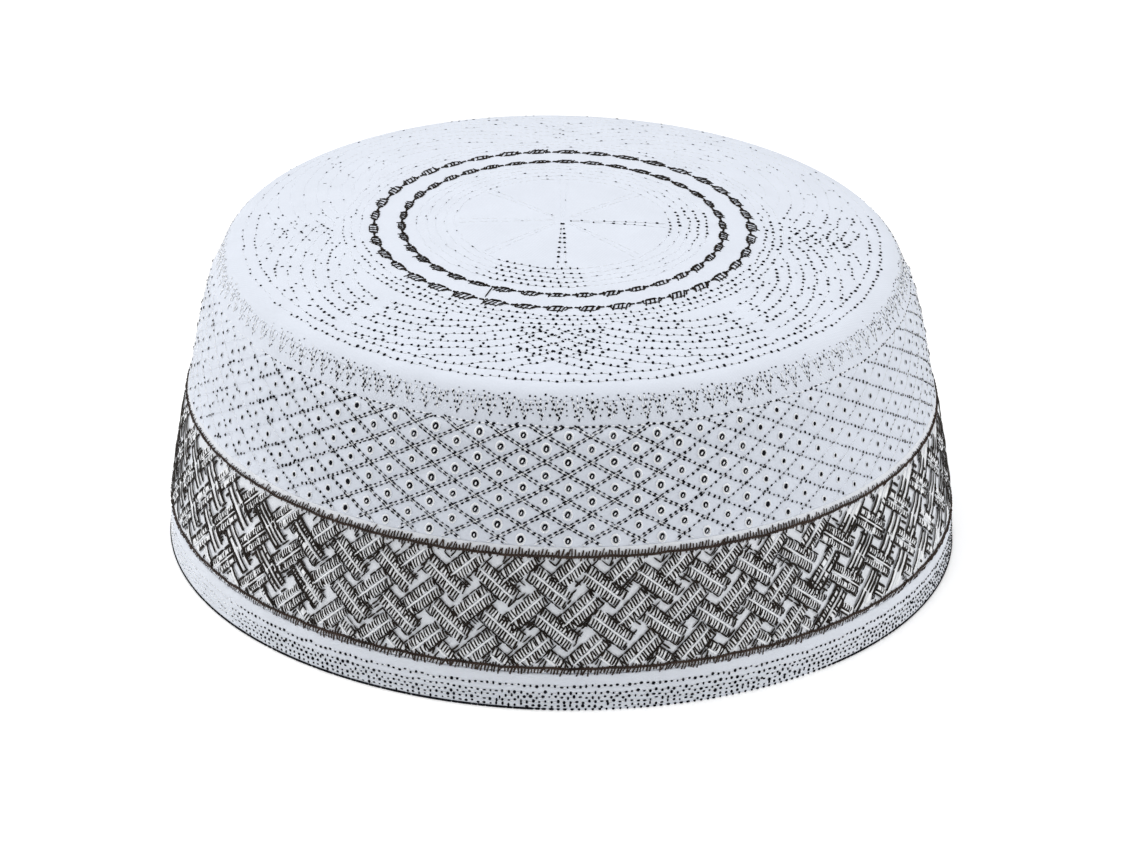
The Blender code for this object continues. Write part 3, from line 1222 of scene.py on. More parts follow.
def weave_group():
    """A plain weave of two sets of yarns, with slubs and a faint change of tone."""
    group, given, result = start_group("cotton_weave", "Pitch")
    split = group.nodes.new("ShaderNodeSeparateXYZ")
    feed(group, given["Place"], split.inputs["Vector"])
    waves = []
    for axis in ("X", "Y"):
        yarns = add_math(group, "DIVIDE", split.outputs[axis], given["Pitch"])
        waves.append(add_math(group, "SINE", add_math(group, "MULTIPLY", yarns, math.pi)))
    cross = add_math(group, "MULTIPLY", *waves)
    slub = add_noise(group, given["Place"], SLUBS, 3.0)
    cloud = add_noise(group, given["Place"], CLOUDS, 4.0)
    feed(group, add_math(group, "MULTIPLY_ADD", cross, 0.5, slub), result["Height"])
    feed(group, add_math(group, "MULTIPLY_ADD", slub, 0.35, cloud), result["Tone"])
    return group


def fibre_group():
    """Fine fibres of a thread: streaks for the bump and a change of tone."""
    group, given, result = start_group("thread_fibre", "Fineness")
    feed(group, add_noise(group, given["Place"], given["Fineness"], 2.0), result["Height"])
    feed(group, add_noise(group, given["Place"], PATCHES, 3.0), result["Tone"])
    return group


def shared_group(name, build):
    """A node group, built the first time that it is asked for."""
    found = bpy.data.node_groups.get(name)
    return found if found else build()


def tinted(colour, share):
    """The colour, darker or lighter by a share, with alpha."""
    return tuple(min(channel * share, 1.0) for channel in colour) + (1.0,)


def surface(name, group, place, size, colour, tones, finish):
    """A material whose group gives tone and bump to one colour, made when first asked for.

    tones holds the darkest and the lightest share of the colour. finish holds the
    roughness, the strength of the bump, the specular level and the sheen.
    """
    found = bpy.data.materials.get(name)
    if found:
        return found
    roughness, bump, specular, sheen = finish
    material = bpy.data.materials.new(name)
    material.use_nodes = True
    tree = material.node_tree
    shader = tree.nodes["Principled BSDF"]
    effect = tree.nodes.new("ShaderNodeGroup")
    effect.node_tree = group
    feed(tree, place(tree), effect.inputs["Place"])
    feed(tree, size, effect.inputs[1])
    colours = [tinted(colour, share) for share in tones]
    ramp = add_ramp(tree, effect.outputs["Tone"], colours, (0.25, 0.85))
    relief = tree.nodes.new("ShaderNodeBump")
    relief.inputs["Strength"].default_value = bump
    relief.inputs["Distance"].default_value = BUMP_HEIGHT
    feed(tree, effect.outputs["Height"], relief.inputs["Height"])
    feed(tree, ramp, shader.inputs["Base Color"])
    feed(tree, relief.outputs["Normal"], shader.inputs["Normal"])
    shader.inputs["Roughness"].default_value = roughness
    shader.inputs["Specular IOR Level"].default_value = specular
    shader.inputs["Sheen Weight"].default_value = sheen
    shader.inputs["Sheen Roughness"].default_value = 0.5
    material.diffuse_color = (*colour, 1.0)
    return material


def cloth_place(tree):
    """The UVs, which measure the cloth in metres."""
    uv = tree.nodes.new("ShaderNodeUVMap")
    uv.uv_map = "cloth"
    return uv.outputs["UV"]


def object_place(tree):
    """The place on the object, in metres."""
    place = tree.nodes.new("ShaderNodeTexCoord")
    return place.outputs["Object"]


def cotton(context, kind):
    """Matt woven cotton in one of the cloth's colours."""
    cloth = context.scene.cap_cloth
    name, key = COTTON_LOOKS[kind]
    colour = getattr(cloth, key)
    group = shared_group("cotton_weave", weave_group)
    return surface(name, group, cloth_place, cloth.weave_pitch, colour, COTTON_TONES, COTTON_FINISH)


def thread(context, kind):
    """Twisted thread with a soft lustre, or the shade in a needle hole."""
    name, settings, key, fibres, tones, finish = THREAD_LOOKS[kind]
    colour = getattr(getattr(context.scene, settings), key)
    group = shared_group("thread_fibre", fibre_group)
    return surface(name, group, object_place, fibres, colour, tones, finish)


# Pieces


def settle_piece(piece, nodes=()):
    """Puts a finished piece on the cap's body."""
    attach(piece, BODY)
    if nodes:
        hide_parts(*nodes)


def stitched_rows(rows, pitch, holes, random):
    """All threads and holes of several rows, each row with its share of the pitch."""
    sewn = [running_stitches(path, share * pitch, holes, random) for path, share in rows]
    threads, punched = zip(*sewn)
    return np.concatenate(threads), np.concatenate(punched)


def dent_field(rows, spacing):
    """A search tree of close places along rows of stitches."""
    places = np.concatenate([step_along(path, spacing) for path, _ in rows])
    points = skin(places[:, 0], places[:, 1], 0.0)
    tree = KDTree(len(points))
    for index, point in enumerate(points):
        tree.insert(point, index)
    tree.balance()
    return tree


class CAP_OT_crown_cloth(bpy.types.Operator):
    """Makes the crown: a padded disc of cotton, pressed in along its stitches."""

    bl_idname = "cap.crown_cloth"
    bl_label = "Crown cloth"

    def execute(self, context):
        cloth = context.scene.cap_cloth
        columns = cloth.crown_columns
        angle = angles_round(columns)
        radii = np.concatenate([np.arange(low, high, step) for low, high, step in CROWN_ZONES])
        shoulder = run_at_radius(CROWN_ZONES[-1][1] * MM)
        rolled = np.linspace(shoulder, CROWN_END, CROWN_SHOULDER_RINGS)[:-1]
        runs = np.concatenate([run_at_radius(radii * MM), rolled, [CROWN_END - EDGE_RING, CROWN_END]])
        tree = dent_field(crown_paths(), DENT_SPACING)
        rings = [skin(np.zeros(1), np.zeros(1), 0.0)]
        for run in runs:
            points = skin(angle, run, 0.0)
            gaps = np.array([tree.find(point)[2] for point in points])
            dent = crown_depth(angle, run, cloth.quilt_depth)
            dent = dent * np.exp(-((gaps / cloth.quilt_reach) ** 2))
            rings.append(skin(angle, run, -dent))
        inside_end = run_at_radius(CROWN_INSIDE_START)
        inside_runs = np.linspace(CROWN_END, inside_end, CROWN_INSIDE_RINGS)
        for run in inside_runs:
            radius = face_radius(run)
            height = np.interp(run, FACE_RUNS, FACE_HEIGHTS)
            share = radius / SEAM_RADIUS
            if run == inside_runs[0]:
                rings.append(turned(angle, radius - WALL, height))
            else:
                rings.append(turned(angle, radius - WALL * share * share, height - WALL))
        rings.append(turned(np.zeros(1), np.zeros(1), np.full(1, CAP_HEIGHT - WALL)))
        radii = [np.hypot(ring[:, 0], ring[:, 1]).mean() for ring in rings[1:-1]]

        def places(row, column):
            turn = FULL_TURN * column / columns
            return radii[row] * np.stack([np.sin(turn), -np.cos(turn)], axis=1)

        piece = shell("crown_cloth", rings, columns, True, places, cotton(context, "quilted"))
        settle_piece(piece, ["crown_panel"])
        return {"FINISHED"}


class CAP_OT_side_cloth(bpy.types.Operator):
    """Makes the side: a padded strip of cotton, pressed in along its diamonds."""

    bl_idname = "cap.side_cloth"
    bl_label = "Side cloth"

    def execute(self, context):
        cloth = context.scene.cap_cloth
        stitches = context.scene.cap_stitches
        columns = cloth.side_columns
        angle = angles_round(columns)
        top = run_at_height(LATTICE_TOP)
        bottom = run_at_height(LATTICE_BOTTOM)
        dotted = [run_at_height(height) for height in DOTTED_ROWS]
        last = SIDE_END + SIDE_TUCK
        runs = np.linspace(SIDE_START + EDGE_RING, last - EDGE_RING, SIDE_RINGS)
        runs = np.concatenate([[SIDE_START], runs, [last]])
        rings = []
        for run in runs:
            dent = np.zeros(columns)
            if top - LATTICE_ABOVE < run < bottom + LATTICE_BELOW:
                dent = lattice_dent(angle, run, stitches.lattice_columns, cloth.quilt_reach)
            for row in dotted:
                row_dent = edge_strength(angle) * math.exp(-(((run - row) / cloth.quilt_reach) ** 2))
                dent = np.maximum(dent, row_dent)
            dent = cloth.quilt_depth * np.minimum(dent, 1.0)
            fold = SEAM_FOLD * math.exp(-(((run - SIDE_START) / SEAM_FOLD_REACH) ** 2))
            rings.append(skin(angle, run, cloth_level(run) - dent - fold))
        behind = -(BAND_CLOTH + FIT_GAP)
        for height in BEHIND_BAND_HEIGHTS:
            run = run_at_height(height * MM)
            rings.append(skin(angle, run, behind))
            runs = np.append(runs, run)
        for height in LINING_HEIGHTS:
            radius = face_radius(run_at_height(height * MM)) - SIDE_INSET - WALL
            rings.append(turned(angle, radius, height * MM))
            runs = np.append(runs, 2.0 * runs[-1] - runs[-2])
        places = strip_places(columns, SIDE_WEAVE_RADIUS, np.append(runs, runs[-1] + WALL))
        piece = shell("side_cloth", rings, columns, False, places, cotton(context, "quilted"))
        settle_piece(piece, ["side_panel"])
        return {"FINISHED"}


class CAP_OT_hem_cloth(bpy.types.Operator):
    """Makes the hem: cotton folded under the rim, pressed in along its rows."""

    bl_idname = "cap.hem_cloth"
    bl_label = "Hem cloth"

    def execute(self, context):
        cloth = context.scene.cap_cloth
        columns = cloth.side_columns
        angle = angles_round(columns)
        rings = [turned(angle, radius, height) for radius, height in self.section()]
        ends = self.section() + self.section()[:1]
        lengths = [math.dist(start, end) for start, end in zip(ends, ends[1:])]
        places = strip_places(columns, HEM_WEAVE_RADIUS, np.concatenate([[0.0], np.cumsum(lengths)]))
        piece = shell("hem_cloth", rings, columns, False, places, cotton(context, "hem"))
        settle_piece(piece, ["hem"])
        return {"FINISHED"}

    def section(self):
        """Radii and heights round the hem: down the outside, under the rim, up the inside.

        Its top edges are rounded by a few tenths of a millimetre.
        """
        pad = HEM_INSIDE_ROUND
        lining = SIDE_INSET + WALL + FIT_GAP + HEM_CLOTH
        inner_face = SIDE_INSET + WALL + FIT_GAP
        foot = FACE_RADII[-1]
        top_radius = face_radius(run_at_height(HEM_TOP))
        inside_radius = face_radius(run_at_height(HEM_INSIDE_TOP))
        section = []
        for height in np.linspace(HEM_TOP - 0.1 * MM, HEM_FOOT_ROUND, HEM_OUTSIDE_RINGS):
            gap = min(abs(height - row) for row in HEM_ROWS)
            dent = HEM_DENT * math.exp(-((gap / HEM_DENT_REACH) ** 2))
            section.append((face_radius(run_at_height(height)) - dent, height))
        for share in (0.25, 0.5, 0.75, 1.0):
            turn = 0.5 * math.pi * share
            radius = foot - pad + pad * math.cos(turn)
            section.append((radius, HEM_FOOT_ROUND - HEM_FOOT_ROUND * math.sin(turn)))
        section.append((foot - lining / 2, 0.0))
        for share in (0.0, 0.33, 0.67, 1.0):
            turn = 0.5 * math.pi * share
            radius = foot - lining + pad - pad * math.sin(turn)
            section.append((radius, pad - pad * math.cos(turn)))
        for height in (0.5 * HEM_LEG_MIDDLE, HEM_LEG_MIDDLE, HEM_INSIDE_TOP - 0.3 * MM):
            section.append((face_radius(run_at_height(height)) - lining, height))
        section += [
            (inside_radius - lining + 0.3 * MM, HEM_INSIDE_TOP),
            (inside_radius - inner_face, HEM_INSIDE_TOP - 0.1 * MM),
            (foot - inner_face, HEM_CLOTH),
            (foot - HEM_CLOTH, HEM_CLOTH),
            (face_radius(run_at_height(HEM_LEG_MIDDLE)) - HEM_CLOTH, HEM_LEG_MIDDLE),
            (top_radius - HEM_CLOTH, HEM_TOP - 0.2 * MM),
            (top_radius - 0.4 * MM, HEM_TOP),
        ]
        return section


class CAP_OT_band_cloth(bpy.types.Operator):
    """Makes the white cloth under the embroidery of the band."""

    bl_idname = "cap.band_cloth"
    bl_label = "Band cloth"

    def execute(self, context):
        angle = angles_round(BAND_COLUMNS)
        low = run_at_height(BAND_CLOTH_BOTTOM)
        high = run_at_height(BAND_CLOTH_TOP)
        outside = np.append(high, np.linspace(high + EDGE_RING, low, BAND_OUTSIDE_RINGS))
        inside = np.linspace(low, high, BAND_INSIDE_RINGS)
        rings = [skin(angle, run, -BAND_SINK) for run in outside]
        rings += [skin(angle, run, -BAND_CLOTH) for run in inside]
        way = np.concatenate([outside, 2.0 * low - inside + BAND_CLOTH, [2.0 * low - high]])
        places = strip_places(BAND_COLUMNS, BAND_WEAVE_RADIUS, way)
        piece = shell("band_cloth", rings, BAND_COLUMNS, False, places, cotton(context, "band"))
        settle_piece(piece, ["embroidered_band"])
        return {"FINISHED"}


class CAP_OT_crown_stitches(bpy.types.Operator):
    """Sews the crown's rows of running stitches and the larger holes of its fans."""

    bl_idname = "cap.crown_stitches"
    bl_label = "Crown stitches"

    def execute(self, context):
        stitches = context.scene.cap_stitches
        depth = context.scene.cap_cloth.quilt_depth
        random = np.random.default_rng(SEED)
        threads, holes = stitched_rows(crown_paths(), stitches.dot_pitch, CROWN_HOLES, random)
        strength = np.minimum(crown_strength(threads[:, 0], threads[:, 1]), 1.0)
        level = THREAD_LIFT - crown_depth(threads[:, 0], threads[:, 1], depth)
        white = Threads()
        width = 0.72 * stitches.thread_width * strength * random.uniform(0.85, 1.1, len(threads))
        white.lay(threads, width, CROWN_THREAD_THICKNESS, level, STITCH_SHAPE)
        white.settle("crown_running_stitches", thread(context, "white"))
        # Painted shade: dark grains stand for the shade down in the needle holes
        dark = Threads()
        strength = crown_strength(holes[:, 0], holes[:, 1])
        kept = random.uniform(0.0, 1.0, len(holes)) < 1.35 * strength**1.3
        holes = holes[kept]
        width = 1.58 * stitches.hole_width * strength[kept] ** 0.7
        width = width * random.uniform(0.5, 1.3, len(holes))
        level = HOLE_LIFT - crown_depth(holes[:, 0], holes[:, 1], depth)
        dark.lay(holes, width, 0.5 * width, level, HOLE_SHAPE, 6)
        self.punch_eyelets(dark, stitches.hole_width, random)
        dark.settle("crown_needle_holes", thread(context, "hole"))
        return {"FINISHED"}

    def punch_eyelets(self, dark, hole_width, random):
        """The larger holes of the fans, each turned its own way, as dark grains of painted shade."""
        eyelets = fan_eyelets()
        turn = random.uniform(0.0, math.pi, len(eyelets))
        long = random.uniform(0.30, 0.55, len(eyelets)) * MM
        reach = np.stack([np.cos(turn) * long / FAN_RADIUS, np.sin(turn) * long], axis=1)
        ends = np.concatenate([eyelets - reach, eyelets + reach], axis=1)
        strength = crown_strength(ends[:, 0], ends[:, 1])
        kept = random.uniform(0.0, 1.0, len(ends)) < 1.3 * strength
        wide = hole_width * strength[kept] * random.uniform(1.2, 1.75, kept.sum())
        dark.lay(ends[kept], wide, 0.42 * wide, FAN_EYELET_LIFT, HOLE_SHAPE, 6)


class CAP_OT_side_stitches(bpy.types.Operator):
    """Sews the diamonds of the side, its worked eyelets, the zigzag and dotted rows."""

    bl_idname = "cap.side_stitches"
    bl_label = "Side stitches"

    def execute(self, context):
        random = np.random.default_rng(SEED + 1)
        stitches = context.scene.cap_stitches
        depth = context.scene.cap_cloth.quilt_depth
        # Painted shade: the dark grains stand for the shade in the diamonds' needle holes
        dark = Threads()
        for name, lean in (("diamond_stitches_rising", 1.0), ("diamond_stitches_falling", -1.0)):
            white = Threads()
            self.sew_lines(white, stitches, lean, depth, random)
            white.settle(name, thread(context, "white"))
            for side in (-1.0, 1.0):
                self.punch_lines(dark, stitches, lean, side, depth, random)
        dark.settle("diamond_needle_holes", thread(context, "hole"))
        self.sew_edge(context, stitches, depth, random)
        self.work_eyelets(context, stitches, random)
        return {"FINISHED"}

    def sew_lines(self, white, stitches, lean, depth, random):
        """The white threads of the diamonds' lines of one slant."""
        rows = [(path, 1.0) for path in lattice_paths(stitches.lattice_columns, lean, 0.0)]
        threads, _ = stitched_rows(rows, stitches.lattice_pitch, LATTICE_THREAD_ENDS, random)
        strength = np.minimum(lattice_strength(threads[:, 0], lean), 1.0)
        width = 0.9 * stitches.thread_width * strength**2 * (1.0 - 0.6 * lattice_dots(threads[:, 0]))
        white.lay(threads, width, LATTICE_THREAD_THICKNESS, LATTICE_THREAD_LIFT - depth * strength, STITCH_SHAPE)

    def punch_lines(self, dark, stitches, lean, side, depth, random):
        """The dark dashes of one row of the diamonds' double lines: painted shade of their needle holes.

        Toward both sides of the cap one row of each line thins out and the other turns to
        dots. Far at the left the dots are few, larger and less in line: there the thinning is painted
        light, where the left light falls.
        """
        rows = [(path, 1.0) for path in lattice_paths(stitches.lattice_columns, lean, side)]
        _, holes = stitched_rows(rows, stitches.lattice_pitch, LATTICE_HOLES, random)
        dots = lattice_dots(holes[:, 0])
        strength = lattice_strength(holes[:, 0], lean)
        sparse = smooth_step(*LATTICE_SPARSE, degrees_round(holes[:, 0]))
        chance = 1.5 * strength ** (1.0 - 0.4 * sparse) * (1.0 - 0.8 * dots * (side > 0.0))
        chance = chance * (1.0 - 0.75 * lattice_end(holes[:, 0]))
        kept = random.uniform(0.0, 1.0, len(holes)) < chance * (1.0 - 0.45 * sparse)
        holes = holes[kept]
        strength = strength[kept]
        sparse = sparse[kept]
        holes[:, [1, 3]] += (random.normal(0.0, LATTICE_JITTER, len(holes)) * sparse)[:, None]
        slim = (0.65 + 0.35 * dots[kept]) * strength ** (0.6 - 0.3 * sparse) * (1.0 + 0.40 * sparse)
        width = stitches.hole_width * slim * random.uniform(0.7, 1.3, len(holes))
        level = HOLE_LIFT - depth * np.minimum(strength, 1.0)
        dark.lay(holes, width, 0.6 * width, level, HOLE_SHAPE, 4)

    def sew_edge(self, context, stitches, depth, random):
        """The zigzag that holds the crown's edge and the dotted rows below it."""
        pitch = stitches.dot_pitch
        white = Threads()
        # Painted shade: dark grains stand for the shade in the needle holes of the zigzag and dotted rows
        dark = Threads()
        rows = [(path, ZIGZAG_PITCH_SHARE) for path in zigzag_paths(stitches.zigzags, random)]
        threads, holes = stitched_rows(rows, pitch, ZIGZAG_HOLES, random)
        white.lay(threads, stitches.thread_width, EDGE_THREAD_THICKNESS, EDGE_LIFT, STITCH_SHAPE)
        rows = [(round_path(run_at_height(row), 0.02), share) for row, share in EDGE_LOOSE_ROWS]
        _, loose_holes = stitched_rows(rows, pitch, EDGE_LOOSE_HOLES, random)
        holes = np.concatenate([holes, loose_holes])
        holes = holes[random.uniform(0.0, 1.0, len(holes)) < 0.86 * edge_strength(holes[:, 0])]
        width = stitches.hole_width * edge_strength(holes[:, 0]) * random.uniform(0.40, 1.05, len(holes))
        dark.lay(holes, width, 0.5 * width, EDGE_LIFT, HOLE_SHAPE, 4)
        rows = [(round_path(run_at_height(height), 0.01), DOTTED_PITCH_SHARE) for height in DOTTED_ROWS]
        threads, holes = stitched_rows(rows, pitch, DOTTED_HOLES, random)
        lift = DOTTED_THREAD_LIFT - depth
        white.lay(threads, stitches.thread_width, EDGE_THREAD_THICKNESS, lift, STITCH_SHAPE)
        width = stitches.hole_width * edge_strength(holes[:, 0]) * random.uniform(0.6, 1.15, len(holes))
        dark.lay(holes, width, 0.5 * width, HOLE_LIFT - depth, HOLE_SHAPE, 4)
        white.settle("edge_zigzag", thread(context, "white"))
        dark.settle("edge_needle_holes", thread(context, "hole"))

    def work_eyelets(self, context, stitches, random):
        """A worked eyelet in the middle of each diamond: a ring, its hole of painted shade and a knot in it.

        Away from the front the eyelets are smaller. At both sides the ring sinks, the hole
        stands out of it, and no knot shows.
        """
        places = self.eyelet_places(stitches.lattice_columns, random)
        turned_away = np.abs(degrees_round(places[:, 0]))
        away = smooth_step(18.0, 46.0, turned_away)
        beside = between((42.0, 64.0), RIGHT_BACK, turned_away)
        size = random.uniform(0.82, 1.04, len(places)) * (1.0 - 0.38 * away)
        radius = face_radius(places[:, 1])
        rings = Threads()
        self.lay_rings(rings, places, size, radius, EYELET_GIRTH * (1.0 - 0.7 * beside))
        rings.settle("eyelet_rings", thread(context, "white"))
        half = EYELET_HOLE_REACH * size
        lean = random.normal(-0.42, 0.18, len(places))
        shift = np.stack([np.sin(lean) * half / radius, np.cos(lean) * half], axis=1)
        ends = np.concatenate([places - shift, places + shift], axis=1)
        wide = EYELET_HOLE_WIDTH * size * random.uniform(0.78, 1.08, len(places))
        wide = wide * (1.0 + 0.15 * away + beside * np.where(places[:, 0] < 0.0, 0.50, -0.35))
        wide = wide * (1.0 - 0.45 * lattice_end(places[:, 0]))
        # Painted shade: a dark grain across each eyelet stands for the shade in its hole
        dark = Threads()
        lift = (EYELET_HOLE_LIFT + EYELET_HOLE_RISE * beside) * MM
        dark.lay(ends, wide, EYELET_HOLE_THICKNESS, lift, HOLE_SHAPE, 8)
        knots = np.concatenate([places - 0.42 * shift, places + 0.60 * shift], axis=1)
        near = away < 0.5
        light = Threads()
        light.lay(knots[near], 0.30 * wide[near], KNOT_THICKNESS, KNOT_LIFT, HOLE_SHAPE, 5)
        light.settle("eyelet_knots", thread(context, "white"))
        dark.settle("eyelet_holes", thread(context, "hole"))

    def eyelet_places(self, columns, random):
        """The middle of each diamond, a little out of true."""
        places = []
        for row in range(LATTICE_ROWS):
            for column in range(columns):
                across = column + 0.5 * (row % 2)
                angle = LATTICE_PHASE + across * FULL_TURN / columns
                places.append((angle, LATTICE_FIRST_RUN + row * LATTICE_STEP))
        places = np.array(places)
        places[:, 0] += random.normal(0.0, EYELET_ANGLE_STRAY, len(places))
        places[:, 1] += random.normal(0.0, EYELET_RUN_STRAY, len(places))
        return places

    def lay_rings(self, rings, places, size, radius, girth):
        """Closed rings of thread about the eyelets, a little longer than they are wide."""
        around = angles_round(EYELET_STEPS)
        section = angles_round(EYELET_SIDES)
        girth = girth[:, None, None]
        reach = EYELET_RADIUS + girth * np.cos(section)
        offset_across = np.cos(around)[:, None] * reach
        offset_down = EYELET_LENGTH * np.sin(around)[:, None] * reach
        lift = EYELET_LIFT + girth * np.sin(section) + np.zeros((EYELET_STEPS, 1))
        angle = places[:, 0, None, None] + size[:, None, None] * offset_across / radius[:, None, None]
        run = places[:, 1, None, None] + size[:, None, None] * offset_down
        points = skin(angle, run, cloth_level(run) + lift)
        quads = tube_quads(EYELET_STEPS, EYELET_SIDES, closed=True)[None, :, ::-1]
        offset = EYELET_STEPS * EYELET_SIDES * np.arange(len(places))[:, None, None]
        rings.add(points, quads + offset, np.zeros((0, 3), dtype=int))


class CAP_OT_hem_stitches(bpy.types.Operator):
    """Sews the rows of the hem."""

    bl_idname = "cap.hem_stitches"
    bl_label = "Hem stitches"

    def execute(self, context):
        stitches = context.scene.cap_stitches
        random = np.random.default_rng(SEED + 2)
        rows = []
        for index, height in enumerate((*HEM_ROWS, HEM_EDGE_ROW)):
            rows.append((round_path(run_at_height(height), 0.5 * (index % 2) * HEM_ROW_SHIFT), 1.0))
        threads, holes = stitched_rows(rows, stitches.hem_pitch, HEM_HOLES, random)
        white = Threads()
        white.lay(threads, stitches.thread_width, EDGE_THREAD_THICKNESS, HEM_THREAD_LIFT, STITCH_SHAPE)
        white.settle("hem_running_stitches", thread(context, "white"))
        # Painted shade: dark grains stand for the shade in the hem's needle holes
        dark = Threads()
        holes = holes[random.uniform(0.0, 1.0, len(holes)) < 1.6 * hem_strength(holes[:, 0])]
        width = 1.35 * stitches.hole_width * hem_strength(holes[:, 0])
        width = width * random.uniform(0.5, 1.25, len(holes))
        dark.lay(holes, width, 0.6 * width, 0.0, HOLE_SHAPE, 4)
        # Painted shadow: dark dashes along the foot of the rim run into a line, and part into dots at the
        # right of the front
        edge = round_path(run_at_height(RIM_SHADOW_LINE))
        _, dashes = running_stitches(edge, RIM_SHADOW_PITCH, (rim_shadow_length, 0.0), random)
        dark.lay(dashes, RIM_SHADOW_WIDTH, RIM_SHADOW_THICKNESS, 0.0, HOLE_SHAPE, 5)
        dark.settle("hem_needle_holes", thread(context, "hole"))
        return {"FINISHED"}


class Cell:
    """One cell of the basket pattern: its place, its lean and its directions on the cloth."""

    def __init__(self, angle, run, lean, embroidery):
        turn = degrees_round(angle)
        slope = BASKET_SLOPE + lean * BASKET_SLOPE_MORE
        self.place = (angle, run)
        self.lean = lean
        self.bold = (lean > 0.0) == (turn > 0.0)
        self.far = smooth_step(*LINES_BEGIN, abs(turn))
        self.wider = between(LINES_WIDEN, LINES_NARROW, abs(turn))
        self.length = embroidery.bar_length * (1.0 + 0.04 * self.far)
        self.width = embroidery.bar_width
        self.apart = 0.5 * (self.width + BAR_GAP)
        self.flank = self.apart + 0.5 * self.width + OUTLINE_GAP
        self.along = np.array([math.cos(slope), -lean * math.sin(slope)])
        self.across = np.array([math.sin(slope), lean * math.cos(slope)])
        self.middle = PAIR_SHIFT * self.across


def basket_cells(embroidery):
    """The cells that lean one way, then those that lean the other way."""
    cells = []
    repeats = embroidery.basket_repeats
    step = FULL_TURN / repeats
    falling_phase = BASKET_PHASE - BASKET_SHEAR + 0.56 * step
    kinds = (
        (1.0, BASKET_RISING_ROWS, BASKET_FIRST_RISING, BASKET_PHASE),
        (-1.0, BASKET_FALLING_ROWS, BASKET_FIRST_FALLING, falling_phase),
    )
    for lean, rows, first, phase in kinds:
        for row in range(rows):
            run = run_at_height(first - row * BASKET_ROW_GAP)
            for column in range(repeats):
                angle = phase + row * BASKET_SHEAR + column * step
                cells.append(Cell(angle, run, lean, embroidery))
    return cells


def wound(angle, run, start, end):
    """Ends of a thread from two offsets on the cloth beside a place."""
    first = run + start[1]
    last = run + end[1]
    first_angle = angle + start[0] / face_radius(first)
    last_angle = angle + end[0] / face_radius(last)
    return (first_angle, first, last_angle, last)


def inside_band(threads, low, high):
    """The rows of ends that lie between two runs."""
    ends = np.array(threads)
    return ends[(ends[:, [1, 3]].min(axis=1) > low) & (ends[:, [1, 3]].max(axis=1) < high)]


